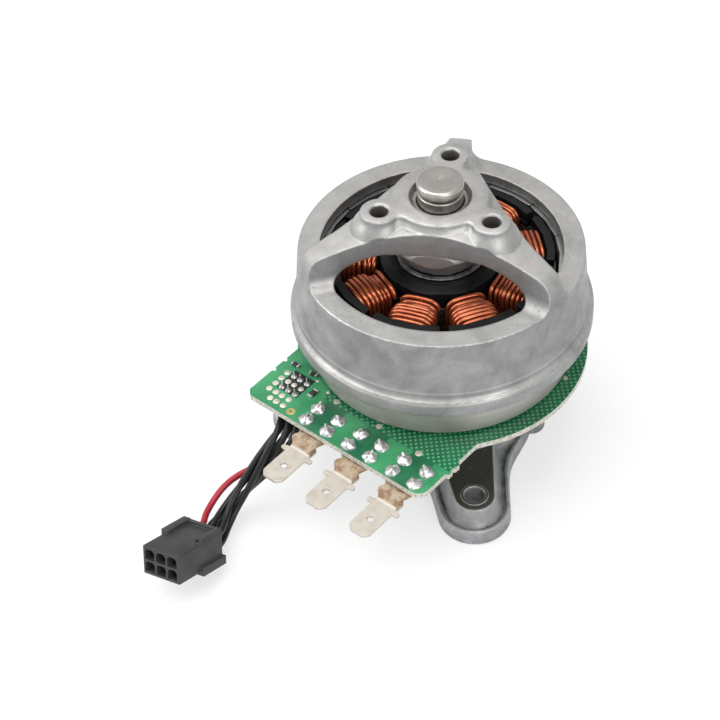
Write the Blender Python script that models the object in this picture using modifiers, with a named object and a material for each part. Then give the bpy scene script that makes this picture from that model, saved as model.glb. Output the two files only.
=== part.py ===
"""Pole saw motor: an outer-rotor brushless motor with a spoked rotor bell.

Metres, +Z up.  The origin is on the motor axis, in the plane of the base's
three feet.  The long straight edge of the circuit board faces -Y.
"""
import math

import bmesh
import bpy
import numpy as np
from mathutils import Matrix, Vector

MM = 0.001

# Clearances
FIT = 0.3 * MM                      # between pieces that seat on each other
AIR_GAP = 0.6 * MM                  # magnets to stator teeth
BOARD_AIR = 0.7 * MM                # turning flux ring above the board

# Base casting
BASE_THICKNESS = 3.0 * MM
BASE_LIP_HEIGHT = 4.4 * MM
BASE_LIP_WIDTH = 1.3 * MM
BASE_INSET = 13.3 * MM              # round part, inside the board's round edge
LOBE_ANGLES = (321.0, 219.0, 90.0)
LOBE_RADIUS = 9.3 * MM
LOBE_FLARE = 12.0                   # degrees, on a side that faces a wide gap
LOBE_BLEND = 7.0 * MM               # hollow between a lobe and the round base
PAD_TOP = 8.5 * MM
PAD_RADIUS = 4.9 * MM
PAD_DRAFT = 2.7 * MM
PAD_FLARE = 12.0
FOOT_BOLT_RADIUS = 2.6 * MM
FOOT_RING_WIDTH = 1.2 * MM
FOOT_RING_HEIGHT = 0.4 * MM
TOWER_INSET = 3.5 * MM
TOWER_BELOW_BOARD = 8.5 * MM
TOWER_DRAFT = 2.0 * MM
TUBE_WALL = 1.4 * MM
TUBE_LEDGE = 0.9 * MM
BORE_STEP = 1.5 * MM

# Bearings
BEARING_OUTER_RADIUS = 9.5 * MM
BEARING_WIDTH = 5.0 * MM
BEARING_RACE = 1.3 * MM
LOWER_BEARING_Z = 6.0 * MM
CAP_FLOOR = 1.6 * MM
CAP_WALL = 1.1 * MM

# Shaft
SHAFT_RADIUS = 5.0 * MM
SHAFT_SHOULDER = 0.6 * MM
SHAFT_BOTTOM = 3.4 * MM
SHAFT_HEAD_RADIUS = 5.7 * MM
SHAFT_HEAD_HEIGHT = 2.0 * MM
SHAFT_NECK_HEIGHT = 0.8 * MM
SHAFT_NECK_DEPTH = 0.8 * MM
SHAFT_ABOVE_BOSS = 4.6 * MM
SHAFT_DIMPLE_RADIUS = 0.9 * MM
SHAFT_DIMPLE_DEPTH = 0.3 * MM
CLIP_THICKNESS = 0.7 * MM
CLIP_WIDTH = 1.9 * MM
CLIP_GROOVE_DEPTH = 0.8 * MM

# Circuit board
BOARD_TOP = 28.3 * MM
BOARD_THICKNESS = 1.6 * MM
BOARD_MARGIN = 3.9 * MM             # round edge beyond the flux ring
BOARD_APRON = 7.8 * MM              # straight front beyond the round edge
BOARD_LEFT = 27.4 * MM
BOARD_RIGHT = 29.2 * MM
BOARD_CORNER = 3.0 * MM
BOARD_CHAMFER = 1.6 * MM
BOARD_TAB_PLACE = 0.53              # share of the straight right side
BOARD_TAB_LENGTH = 5.0 * MM
BOARD_TAB_DEPTH = 0.9 * MM
BITE_PLACE = 0.39                   # share of the straight left side
BITE_SPACING = 4.3 * MM
BITE_WIDTH = 1.4 * MM
BITE_DEPTH = 0.8 * MM
BOARD_POST_ANGLES = (270.0, 30.0, 150.0)
BOARD_POST_INSET = 0.4 * MM
BOARD_POST_RADIUS = 3.0 * MM
BOARD_SCREW_RADIUS = 1.3 * MM
BOARD_SCREW_HEAD = 2.5 * MM
BOARD_SCREW_HEAD_HEIGHT = 0.8 * MM
BOARD_SCREW_LENGTH = 7.0 * MM

# Stator
BOARD_TO_STACK = 6.2 * MM
STACK_LENGTH = 19.0 * MM
TEETH = 9
FIRST_TOOTH = 10.0
TOOTH_HALF_WIDTH = 2.5 * MM
YOKE_RADIUS = 15.0 * MM
TOOTH_TIP_RADIUS = 28.4 * MM
SHOE_THICKNESS = 2.6 * MM
SLOT_OPENING = 2.2 * MM
PLATE_THICKNESS = 1.3 * MM
RIM_WIDTH = 2.0 * MM
RIM_HEIGHT = 3.2 * MM

# Coils
COIL_TO_COLLAR = 0.4 * MM
COIL_TO_RIM = 0.5 * MM
COIL_BUILD = 3.0 * MM
COIL_STEPS = (0.72, 0.52, 0.56, 0.94, 1.0, 1.0, 0.97, 0.9)    # one share of the build a turn
COIL_RIDGE = 0.35 * MM

# Magnets and flux ring
MAGNETS = 14
FIRST_MAGNET_JOINT = 0.81
MAGNET_THICKNESS = 2.2 * MM
MAGNET_SPLIT = 0.35 * MM
MAGNET_END_DROP = 1.4 * MM
FLUX_RING_WALL = 1.9 * MM

# Rotor bell
RING_ABOVE_STACK = 7.0 * MM
RING_SET_BACK = 1.1 * MM            # ring's inner edge behind the magnets' faces
BELL_WALL = 1.7 * MM
BELL_RING_THICKNESS = 2.8 * MM
BELL_DRAFT = 0.09
BELL_SKIRT = 20.9 * MM
BELL_FLANGE = 1.4 * MM
BELL_FLANGE_HEIGHT = 4.0 * MM
BOSS_HEIGHT = 16.4 * MM             # boss top above the ring's top
BOSS_RADIUS = 11.7 * MM
BOSS_RISE = 2.1 * MM
BOSS_EDGE = 0.5 * MM
SPOKE_SLOPE = 0.31
SPOKE_THICKNESS = 6.6 * MM
SHOULDER_RADIUS = 5.1 * MM
RECESS_RADIUS = 7.6 * MM
RECESS_DEPTH = 1.5 * MM
RECESS_DRAFT = 1.0 * MM
HUB_RADIUS = 10.8 * MM
HUB_ABOVE_RING = 0.2 * MM
EAR_ANGLES = (119.34, 239.34, 359.34)
EAR_OUT = 3.9 * MM                  # ear's middle beyond the boss disc
EAR_RADIUS = 4.7 * MM
EAR_HOLE_RADIUS = 2.2 * MM
EAR_HOLE_CHAMFER = 0.4 * MM
EAR_FILLET = 1.8 * MM
WINDOW_REACH = 12.8 * MM
WINDOW_CURVE = 64.6 * MM
WINDOW_CORNER = 2.6 * MM
POCKET_FILLET = 3.4 * MM

# Terminals
TERMINAL_X = (-5.8 * MM, 8.0 * MM, 21.9 * MM)
TAB_WIDTH = 6.3 * MM
TAB_THICKNESS = 0.8 * MM
TAB_DROP = 1.7 * MM                 # blade below the plate under the board
TAB_REACH = 15.5 * MM               # tip beyond the board's front
TAB_LENGTH = 10.0 * MM
TAB_HOLE_RADIUS = 0.87 * MM
TAB_HOLE_FROM_TIP = 5.4 * MM
TAB_SHOULDER_WIDTH = 9.6 * MM
TERMINAL_PLATE_WIDTH = 8.4 * MM
TERMINAL_PLATE_DEPTH = 8.5 * MM
LEG_RADIUS = 0.55 * MM
LEG_SPREAD = 3.4 * MM
LEG_ROWS_BACK = (6.9 * MM, 2.4 * MM)    # behind the board's front
SOLDER_RADIUS = 1.75 * MM
SOLDER_HEIGHT = 3.2 * MM

# Signal lead
WIRE_RADIUS = 0.85 * MM
BUNDLE_PITCH = 2.2 * MM
RED_BOW = 2.5 * MM
PIN_PITCH_X = 2.2 * MM
PIN_PITCH_Y = 4.5 * MM
PIN_CENTRE = (-19.4 * MM, -35.6 * MM)
PLUG_WIDTH = 11.6 * MM
PLUG_HEIGHT = 7.7 * MM
PLUG_LENGTH = 16.6 * MM
PLUG_CENTRE = (-16.6 * MM, -82.1 * MM, 8.6 * MM)
PLUG_YAW = 93.1
PLUG_PITCH = 20.0
PLUG_ROLL = -12.4
PLUG_PITCH_ACROSS = 3.3 * MM
PLUG_PITCH_UP = 3.3 * MM
RAIL_LENGTH = 8.8 * MM
RAIL_WIDTH = 1.5 * MM
RAIL_HEIGHT = 0.9 * MM
RAIL_SLOT = 0.9 * MM
CAVITY_SIZE = 2.5 * MM
CAVITY_DEPTH = 9.0 * MM
CAVITY_CORNER = 0.6 * MM

# Board parts
SENSOR_ANGLES = (250.0, 270.0, 290.0)
SENSOR_SIZE = (1.5 * MM, 3.0 * MM, 1.1 * MM)
SENSOR_FROM_RING = 1.3 * MM
CHIP_SIZE = (2.4 * MM, 4.4 * MM, 1.1 * MM)
CHIP_X = -13.2 * MM
CHIP_BACK = 9.2 * MM

# Sizes that follow from the ones above
BOARD_BOTTOM = BOARD_TOP - BOARD_THICKNESS
STACK_BOTTOM = BOARD_TOP + BOARD_TO_STACK
STACK_TOP = STACK_BOTTOM + STACK_LENGTH
BELL_RING_TOP = STACK_TOP + RING_ABOVE_STACK
BELL_BOTTOM = BELL_RING_TOP - BELL_SKIRT
HUB_BOTTOM = BELL_RING_TOP + HUB_ABOVE_RING
BOSS_TOP = BELL_RING_TOP + BOSS_HEIGHT
EAR_REACH = BOSS_RADIUS + EAR_OUT
SHAFT_HUB_RADIUS = SHAFT_RADIUS + SHAFT_SHOULDER
BEARING_BORE = SHAFT_RADIUS + FIT
BEARING_SEAT = BEARING_OUTER_RADIUS + FIT
TUBE_RADIUS = BEARING_SEAT + TUBE_WALL
LEDGE_RADIUS = TUBE_RADIUS + TUBE_LEDGE
LEDGE_TOP = STACK_BOTTOM - FIT
TOWER_TOP = BOARD_BOTTOM - TOWER_BELOW_BOARD
BORE_RADIUS = BEARING_SEAT - BORE_STEP
CORE_BORE = TUBE_RADIUS + FIT
POST_TOP = BOARD_BOTTOM - FIT
SPACER_Z = HUB_BOTTOM - 0.7 * MM
UPPER_BEARING_TOP = SPACER_Z - FIT
UPPER_BEARING_Z = UPPER_BEARING_TOP - BEARING_WIDTH
TUBE_TOP = UPPER_BEARING_TOP - 0.4 * MM
FLUX_RING_INNER = TOOTH_TIP_RADIUS + AIR_GAP + MAGNET_THICKNESS + FIT
FLUX_RING_OUTER = FLUX_RING_INNER + FLUX_RING_WALL
FLUX_RING_BOTTOM = BOARD_TOP + BOARD_AIR
BELL_STEP_Z = BELL_RING_TOP - BELL_RING_THICKNESS
FLUX_RING_TOP = BELL_STEP_Z - FIT
BELL_BORE = FLUX_RING_OUTER + FIT
BELL_RING_INNER = TOOTH_TIP_RADIUS + AIR_GAP + RING_SET_BACK
BELL_RING_OUTER = BELL_BORE + BELL_WALL
WALL_FOOT_Z = BELL_BOTTOM + BELL_FLANGE_HEIGHT + 1.4 * MM
WALL_FOOT = BELL_RING_OUTER + BELL_DRAFT * (BELL_RING_TOP - WALL_FOOT_Z)
BELL_FLANGE_RADIUS = WALL_FOOT + BELL_FLANGE
SHAFT_TOP = BOSS_TOP + SHAFT_ABOVE_BOSS
RECESS_FLOOR = BOSS_TOP - RECESS_DEPTH
COIL_HALF_HEIGHT = (STACK_TOP - STACK_BOTTOM) / 2 + FIT + PLATE_THICKNESS + FIT
COIL_HALF_WIDTH = TOOTH_HALF_WIDTH + FIT
STACK_MIDDLE = (STACK_TOP + STACK_BOTTOM) / 2
SHOE_INNER_RADIUS = TOOTH_TIP_RADIUS - SHOE_THICKNESS
COLLAR_OUTER = YOKE_RADIUS + 0.2 * MM
COIL_INNER_REACH = COLLAR_OUTER + COIL_TO_COLLAR
COIL_OUTER_REACH = SHOE_INNER_RADIUS - COIL_TO_RIM
BOARD_RADIUS = FLUX_RING_OUTER + BOARD_MARGIN
BOARD_FRONT = BOARD_RADIUS + BOARD_APRON
BASE_RADIUS = BOARD_RADIUS - BASE_INSET
TOWER_RADIUS = BASE_RADIUS - TOWER_INSET
BOARD_POST_REACH = BASE_RADIUS - BOARD_POST_INSET
# the two front lobes end in line with the board's round edge on either side
LOBE_REACH = (BOARD_RADIUS + FIT - LOBE_RADIUS) / math.cos(math.radians(LOBE_ANGLES[0]))
LEG_ROWS = tuple(BOARD_FRONT - back for back in LEG_ROWS_BACK)
TERMINAL_PLATE_BACK = BOARD_FRONT - TERMINAL_PLATE_DEPTH
TAB_TOP = BOARD_BOTTOM - FIT - TAB_DROP
TAB_TIP = BOARD_FRONT + TAB_REACH
TAB_SHOULDER = TAB_TIP - TAB_LENGTH


# Scene set-up

for old in list(bpy.data.objects):
    bpy.data.objects.remove(old, do_unlink=True)

PARTS = bpy.data.collections.new("pole_saw_motor")
CUTTERS = bpy.data.collections.new("cutters")
bpy.context.scene.collection.children.link(PARTS)
bpy.context.scene.collection.children.link(CUTTERS)


def make_material(name, color, roughness, metallic):
    material = bpy.data.materials.new(name)
    material.use_nodes = True
    shader = material.node_tree.nodes["Principled BSDF"]
    shader.inputs["Base Color"].default_value = (*color, 1.0)
    shader.inputs["Roughness"].default_value = roughness
    shader.inputs["Metallic"].default_value = metallic
    material.diffuse_color = (*color, 1.0)
    return material


CAST = make_material("cast_aluminium", (0.62, 0.61, 0.59), 0.45, 0.9)
BASE_CAST = make_material("base_aluminium", (0.42, 0.42, 0.42), 0.5, 0.85)
STEEL = make_material("bright_steel", (0.66, 0.63, 0.58), 0.28, 1.0)
RACE = make_material("bearing_steel", (0.55, 0.55, 0.56), 0.25, 1.0)
LAMINATION = make_material("lamination_steel", (0.35, 0.35, 0.36), 0.45, 0.9)
MAGNET = make_material("magnet_nickel", (0.45, 0.45, 0.46), 0.35, 0.8)
COPPER = make_material("enamelled_copper", (0.72, 0.24, 0.07), 0.28, 0.9)
NYLON = make_material("black_nylon", (0.02, 0.02, 0.022), 0.4, 0.0)
BOARD = make_material("green_board", (0.02, 0.23, 0.09), 0.35, 0.0)
TIN = make_material("tinned_brass", (0.66, 0.61, 0.5), 0.35, 0.95)
PLUG = make_material("charcoal_plastic", (0.05, 0.052, 0.058), 0.5, 0.0)
CHIP = make_material("chip_black", (0.025, 0.025, 0.027), 0.4, 0.0)
RED = make_material("red_insulation", (0.55, 0.02, 0.03), 0.4, 0.0)
BLACK = make_material("black_insulation", (0.015, 0.015, 0.016), 0.4, 0.0)


def add_object(name, data, material=None, parent=None):
    """Put a node in the parts collection, or a cutter when it has no material."""
    obj = bpy.data.objects.new(name, data)
    if material is None:
        CUTTERS.objects.link(obj)
        obj.hide_render = True
        obj.display_type = "WIRE"
    else:
        PARTS.objects.link(obj)
        data.materials.append(material)
        obj.parent = parent
    return obj


def finish_mesh(bm, name, smooth=35.0):
    bmesh.ops.recalc_face_normals(bm, faces=bm.faces)
    mesh = bpy.data.meshes.new(name)
    bm.to_mesh(mesh)
    bm.free()
    mesh.shade_smooth()
    mesh.set_sharp_from_angle(angle=math.radians(smooth))
    return mesh


def turned(name, profile, steps, material=None, parent=None):
    """A closed (radius, height) profile at +X, turned about Z by a Screw."""
    bm = bmesh.new()
    verts = [bm.verts.new((r, 0.0, z)) for r, z in profile]
    for first, second in zip(verts, verts[1:]):
        bm.edges.new((first, second))
    if profile[0][0] > 0.0 or profile[-1][0] > 0.0:
        bm.edges.new((verts[-1], verts[0]))
    mesh = bpy.data.meshes.new(name)
    bm.to_mesh(mesh)
    bm.free()
    obj = add_object(name, mesh, material, parent)
    screw = obj.modifiers.new("turn", "SCREW")
    screw.axis = "Z"
    screw.angle = math.tau
    screw.steps = steps
    screw.render_steps = steps
    screw.use_merge_vertices = True
    screw.merge_threshold = 0.000001
    screw.use_smooth_shade = True
    return obj


def loft(name, loops, material=None, parent=None, smooth=35.0):
    """A skin through loops of as many points each, capped at both ends."""
    bm = bmesh.new()
    rings = [[bm.verts.new(point) for point in loop] for loop in loops]
    count = len(rings[0])
    for lower, upper in zip(rings, rings[1:]):
        for i in range(count):
            j = (i + 1) % count
            bm.faces.new((lower[i], lower[j], upper[j], upper[i]))
    bm.faces.new(list(reversed(rings[0])))
    bm.faces.new(rings[-1])
    return add_object(name, finish_mesh(bm, name, smooth), material, parent)


def prism(name, outline, bottom, top, material=None, parent=None, smooth=35.0):
    """A flat outline as a filled 2D curve with thickness, made a mesh."""
    curve = bpy.data.curves.new(name, "CURVE")
    curve.dimensions = "2D"
    curve.fill_mode = "BOTH"
    spline = curve.splines.new("POLY")
    spline.points.add(len(outline) - 1)
    for point, (x, y) in zip(spline.points, outline):
        point.co = (x, y, 0.0, 1.0)
    spline.use_cyclic_u = True
    curve.extrude = (top - bottom) / 2
    flat = bpy.data.objects.new(name + "_outline", curve)
    CUTTERS.objects.link(flat)
    bpy.context.view_layer.update()
    evaluated = flat.evaluated_get(bpy.context.evaluated_depsgraph_get())
    mesh = bpy.data.meshes.new_from_object(evaluated)
    bm = bmesh.new()
    bm.from_mesh(mesh)
    bmesh.ops.remove_doubles(bm, verts=bm.verts, dist=0.000001)
    bmesh.ops.translate(bm, verts=bm.verts, vec=(0.0, 0.0, (top + bottom) / 2))
    bpy.data.objects.remove(flat, do_unlink=True)
    bpy.data.meshes.remove(mesh)
    return add_object(name, finish_mesh(bm, name, smooth), material, parent)


def box(name, size, centre, material=None, parent=None):
    bm = bmesh.new()
    bmesh.ops.create_cube(bm, size=1.0)
    bmesh.ops.scale(bm, verts=bm.verts, vec=size)
    bmesh.ops.translate(bm, verts=bm.verts, vec=centre)
    return add_object(name, finish_mesh(bm, name), material, parent)


def copies(name, source, placements):
    """One cutter object that holds copies of another's evaluated mesh."""
    bpy.context.view_layer.update()
    evaluated = source.evaluated_get(bpy.context.evaluated_depsgraph_get())
    mesh = bpy.data.meshes.new_from_object(evaluated)
    bm = bmesh.new()
    for placement in placements:
        before = len(bm.verts)
        bm.from_mesh(mesh)
        bm.verts.ensure_lookup_table()
        bmesh.ops.transform(bm, matrix=placement @ source.matrix_world, verts=bm.verts[before:])
    bpy.data.meshes.remove(mesh)
    bpy.data.objects.remove(source, do_unlink=True)
    return add_object(name, finish_mesh(bm, name))


def combine(target, other, operation="DIFFERENCE"):
    modifier = target.modifiers.new(other.name, "BOOLEAN")
    modifier.operation = operation
    modifier.solver = "EXACT"
    modifier.object = other


def shade(target, angle=35.0):
    """Settle the modifiers, then mark the edges that stay sharp."""
    bpy.context.view_layer.update()
    evaluated = target.evaluated_get(bpy.context.evaluated_depsgraph_get())
    mesh = bpy.data.meshes.new_from_object(evaluated)
    target.modifiers.clear()
    bm = bmesh.new()
    bm.from_mesh(mesh)
    bmesh.ops.remove_doubles(bm, verts=bm.verts, dist=0.000002)
    bmesh.ops.dissolve_degenerate(bm, edges=bm.edges, dist=0.000002)
    bm.to_mesh(mesh)
    bm.free()
    old = target.data
    mesh.name = old.name
    target.data = mesh
    if not mesh.materials and old.materials:
        mesh.materials.append(old.materials[0])
    bpy.data.meshes.remove(old)
    mesh.shade_smooth()
    mesh.set_sharp_from_angle(angle=math.radians(angle))


def polar(angle, reach, z=0.0):
    turn = math.radians(angle)
    return Vector((reach * math.cos(turn), reach * math.sin(turn), z))


def spin(angle):
    return Matrix.Rotation(math.radians(angle), 4, "Z")


def arc(centre, radius, start, stop, count):
    """Points on a circle, both ends included, angles in degrees."""
    points = []
    for i in range(count):
        turn = math.radians(start + (stop - start) * i / (count - 1))
        points.append((centre[0] + radius * math.cos(turn), centre[1] + radius * math.sin(turn)))
    return points


# Base casting: a lipped plate with three lobes, drafted pads and a tower

def lobe_exit(angle, radius, flare_plus, flare_minus):
    """How far a ray from the axis runs inside one lobe, angle from its middle."""
    turn = math.radians(angle)
    if abs(angle) > 80.0:
        return 0.0
    across = (LOBE_REACH * math.sin(turn)) ** 2
    if across < radius ** 2:
        run = LOBE_REACH * math.cos(turn) + math.sqrt(radius ** 2 - across)
        bearing = math.degrees(math.atan2(run * math.sin(turn), run * math.cos(turn) - LOBE_REACH))
        if -90.0 + flare_minus <= bearing <= 90.0 - flare_plus:
            return run
    flare = math.radians(flare_plus if angle > 0.0 else flare_minus)
    reach = LOBE_REACH * math.sin(flare) + radius
    return reach / math.sin(abs(turn) + flare)


def lobe_flares(index, wide, narrow=0.0):
    """The first two lobes face each other across a narrow gap."""
    return ((wide, narrow), (narrow, wide), (wide, wide))[index]


def blended(first, second, width):
    """The larger of two reaches, with a hollow where they are nearly equal."""
    near = max(width - abs(first - second), 0.0)
    return max(first, second) + near ** 2 / (4.0 * width)


def base_reach(angle, inset):
    """The outline's distance from the axis, the lobes blended into the disc."""
    reach = BASE_RADIUS - inset
    for index, middle in enumerate(LOBE_ANGLES):
        offset = (angle - middle + 180.0) % 360.0 - 180.0
        plus, minus = lobe_flares(index, LOBE_FLARE)
        reach = blended(reach, lobe_exit(offset, LOBE_RADIUS - inset, plus, minus), LOBE_BLEND)
    for middle in BOARD_POST_ANGLES:    # the plate is wide enough to carry the posts
        offset = math.radians((angle - middle + 180.0) % 360.0 - 180.0)
        room = (BOARD_POST_RADIUS + BASE_LIP_WIDTH / 2 - inset) ** 2 - (BOARD_POST_REACH * math.sin(offset)) ** 2
        if room > 0.0 and abs(offset) < 1.0:
            reach = blended(reach, BOARD_POST_REACH * math.cos(offset) + math.sqrt(room), LOBE_BLEND / 4)
    return reach


def outline_bearings():
    """Bearings spaced by the outline's length and by how sharply it bends."""
    fine = [polar(i / 2, base_reach(i / 2, 0.0)) for i in range(720)]
    shares = [0.0]
    for i, here in enumerate(fine):
        after = fine[(i + 1) % 720]
        bend = math.degrees((here - fine[i - 1]).angle(after - here))
        shares.append(shares[-1] + (after - here).length / BASE_RADIUS * 4.0 + bend / 13.0)
    return np.interp(np.linspace(0.0, shares[-1], 105, endpoint=False), shares, np.arange(721) / 2)


BEARINGS = outline_bearings()


def base_outline(inset):
    return [polar(angle, base_reach(angle, inset)) for angle in BEARINGS]


def level(points, z):
    return [(p[0], p[1], z) for p in points]


outer = base_outline(0.0)
chamfered = base_outline(0.4 * MM)
lip_inner = base_outline(BASE_LIP_WIDTH)
lip_foot = base_outline(BASE_LIP_WIDTH + 0.4 * MM)
base = loft("base_bracket", [
    level(chamfered, 0.0),
    level(outer, 0.5 * MM),
    level(chamfered, BASE_LIP_HEIGHT),
    level(lip_inner, BASE_LIP_HEIGHT),
    level(lip_foot, BASE_THICKNESS)], BASE_CAST)


def pad_outline(grow, flare_plus, flare_minus):
    radius = PAD_RADIUS + grow
    plus, minus = math.radians(flare_plus), math.radians(flare_minus)
    root = TOWER_RADIUS * 0.6
    points = [(root, -(radius + (LOBE_REACH - root) * math.sin(minus)) / math.cos(minus))]
    points += arc((LOBE_REACH, 0.0), radius, flare_minus - 90.0, 90.0 - flare_plus, 9)
    points.append((root, (radius + (LOBE_REACH - root) * math.sin(plus)) / math.cos(plus)))
    return points


for index, middle in enumerate(LOBE_ANGLES):
    plus, minus = lobe_flares(index, PAD_FLARE, 1.5)
    sections = []
    for grow, z in ((PAD_DRAFT, BASE_THICKNESS * 0.5), (PAD_DRAFT, BASE_THICKNESS),
                    (PAD_DRAFT * 0.45, PAD_TOP * 0.62), (0.4 * MM, PAD_TOP - 0.4 * MM), (0.0, PAD_TOP)):
        turned_outline = [spin(middle) @ Vector((*p, z)) for p in pad_outline(grow, plus, minus)]
        sections.append(turned_outline)
    combine(base, loft(f"pad_{index + 1}", sections), "UNION")

tower = turned("tower", [
    (0.0, TUBE_TOP), (TUBE_RADIUS - 0.3 * MM, TUBE_TOP), (TUBE_RADIUS, TUBE_TOP - 0.3 * MM),
    (TUBE_RADIUS, LEDGE_TOP), (LEDGE_RADIUS, LEDGE_TOP),
    (LEDGE_RADIUS, TOWER_TOP + 1.6 * MM), (LEDGE_RADIUS + 0.5 * MM, TOWER_TOP + 0.5 * MM),
    (LEDGE_RADIUS + 1.6 * MM, TOWER_TOP),
    (TOWER_RADIUS - 1.0 * MM, TOWER_TOP), (TOWER_RADIUS, TOWER_TOP - 1.0 * MM),
    (TOWER_RADIUS + TOWER_DRAFT, BASE_THICKNESS + 1.0 * MM),
    (BASE_RADIUS - BASE_LIP_WIDTH - 0.6 * MM, BASE_THICKNESS * 0.8), (0.0, BASE_THICKNESS * 0.8)], 30)
combine(base, tower, "UNION")

post = turned("post", [
    (0.0, POST_TOP), (BOARD_POST_RADIUS - 0.3 * MM, POST_TOP), (BOARD_POST_RADIUS, POST_TOP - 0.3 * MM),
    (BOARD_POST_RADIUS, BASE_THICKNESS * 0.7), (0.0, BASE_THICKNESS * 0.7)], 12)
combine(base, copies("board_posts", post, [
    Matrix.Translation(polar(angle, BOARD_POST_REACH)) for angle in BOARD_POST_ANGLES]), "UNION")

ring = turned("foot_ring", [
    (0.0, PAD_TOP + FOOT_RING_HEIGHT), (FOOT_BOLT_RADIUS + FOOT_RING_WIDTH * 0.7, PAD_TOP + FOOT_RING_HEIGHT),
    (FOOT_BOLT_RADIUS + FOOT_RING_WIDTH, PAD_TOP), (FOOT_BOLT_RADIUS + FOOT_RING_WIDTH, PAD_TOP * 0.8),
    (0.0, PAD_TOP * 0.8)], 12)
combine(base, copies("foot_rings", ring, [
    Matrix.Translation(polar(angle, LOBE_REACH)) @ spin(angle) for angle in LOBE_ANGLES]), "UNION")

foot_bore = turned("foot_bore", [
    (0.0, PAD_TOP + 2.0 * MM), (FOOT_BOLT_RADIUS, PAD_TOP + 2.0 * MM), (FOOT_BOLT_RADIUS, -MM), (0.0, -MM)], 12)
combine(base, copies("foot_bores", foot_bore, [
    Matrix.Translation(polar(angle, LOBE_REACH)) @ spin(angle + 4.0) for angle in LOBE_ANGLES]))

screw_bore = turned("screw_bore", [
    (0.0, BOARD_TOP), (BOARD_SCREW_RADIUS + FIT, BOARD_TOP),
    (BOARD_SCREW_RADIUS + FIT, BOARD_TOP - BOARD_SCREW_LENGTH - MM),
    (0.0, BOARD_TOP - BOARD_SCREW_LENGTH - MM)], 12)
combine(base, copies("screw_bores", screw_bore, [
    Matrix.Translation(polar(angle, BOARD_POST_REACH)) @ spin(7.0) for angle in BOARD_POST_ANGLES]))

combine(base, turned("bearing_bore", [
    (0.0, TUBE_TOP + MM), (BEARING_SEAT, TUBE_TOP + MM), (BEARING_SEAT, UPPER_BEARING_Z - FIT),
    (BORE_RADIUS, UPPER_BEARING_Z - FIT), (BORE_RADIUS, LOWER_BEARING_Z + BEARING_WIDTH + FIT),
    (BEARING_SEAT, LOWER_BEARING_Z + BEARING_WIDTH + FIT), (BEARING_SEAT, -MM), (0.0, -MM)], 28))
shade(base)

CAP_OUTER = BEARING_OUTER_RADIUS
turned("dust_cap", [
    (0.0, CAP_FLOOR), (CAP_OUTER - CAP_WALL, CAP_FLOOR), (CAP_OUTER - CAP_WALL, LOWER_BEARING_Z - FIT),
    (CAP_OUTER, LOWER_BEARING_Z - FIT), (CAP_OUTER, 0.0), (0.0, 0.0)], 24, BASE_CAST)


# Bearings: outer races stay in the tube, inner races turn with the shaft

ROTOR = bpy.data.objects.new("rotor_axis", None)
ROTOR.location = (0.0, 0.0, 0.0)
PARTS.objects.link(ROTOR)

INNER_RACE_OUTER = BEARING_BORE + BEARING_RACE
for label, z in (("upper", UPPER_BEARING_Z), ("lower", LOWER_BEARING_Z)):
    top = z + BEARING_WIDTH
    shield = INNER_RACE_OUTER + FIT
    turned(f"bearing_{label}_outer", [
        (BEARING_OUTER_RADIUS - BEARING_RACE, top), (BEARING_OUTER_RADIUS, top),
        (BEARING_OUTER_RADIUS, z), (BEARING_OUTER_RADIUS - BEARING_RACE, z),
        (BEARING_OUTER_RADIUS - BEARING_RACE, z + 0.4 * MM), (shield, z + 0.4 * MM),
        (shield, top - 0.4 * MM), (BEARING_OUTER_RADIUS - BEARING_RACE, top - 0.4 * MM)], 18, RACE)
    turned(f"bearing_{label}_inner", [
        (BEARING_BORE, top), (INNER_RACE_OUTER, top), (INNER_RACE_OUTER, z), (BEARING_BORE, z)],
        18, RACE, ROTOR)


# Shaft with its shoulder, neck, rounded head and clip groove

HEAD_BOTTOM = SHAFT_TOP - SHAFT_HEAD_HEIGHT
NECK_BOTTOM = HEAD_BOTTOM - SHAFT_NECK_HEIGHT
CLIP_TOP = LOWER_BEARING_Z - FIT
CLIP_BOTTOM = CLIP_TOP - CLIP_THICKNESS
GROOVE_RADIUS = SHAFT_RADIUS - CLIP_GROOVE_DEPTH
turned("motor_shaft", [
    (0.0, SHAFT_TOP - SHAFT_DIMPLE_DEPTH), (SHAFT_DIMPLE_RADIUS, SHAFT_TOP), (SHAFT_HEAD_RADIUS - 0.7 * MM, SHAFT_TOP),
    (SHAFT_HEAD_RADIUS - 0.2 * MM, SHAFT_TOP - 0.2 * MM), (SHAFT_HEAD_RADIUS, SHAFT_TOP - 0.7 * MM),
    (SHAFT_HEAD_RADIUS, HEAD_BOTTOM), (SHAFT_HUB_RADIUS - SHAFT_NECK_DEPTH, HEAD_BOTTOM),
    (SHAFT_HUB_RADIUS - SHAFT_NECK_DEPTH, NECK_BOTTOM), (SHAFT_HUB_RADIUS, NECK_BOTTOM),
    (SHAFT_HUB_RADIUS, SPACER_Z), (SHAFT_RADIUS, SPACER_Z),
    (SHAFT_RADIUS, CLIP_TOP + FIT), (GROOVE_RADIUS, CLIP_TOP + FIT),
    (GROOVE_RADIUS, CLIP_BOTTOM - FIT), (SHAFT_RADIUS, CLIP_BOTTOM - FIT),
    (SHAFT_RADIUS, SHAFT_BOTTOM + 0.5 * MM), (SHAFT_RADIUS - 0.5 * MM, SHAFT_BOTTOM),
    (0.0, SHAFT_BOTTOM)], 20, STEEL, ROTOR)

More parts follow.
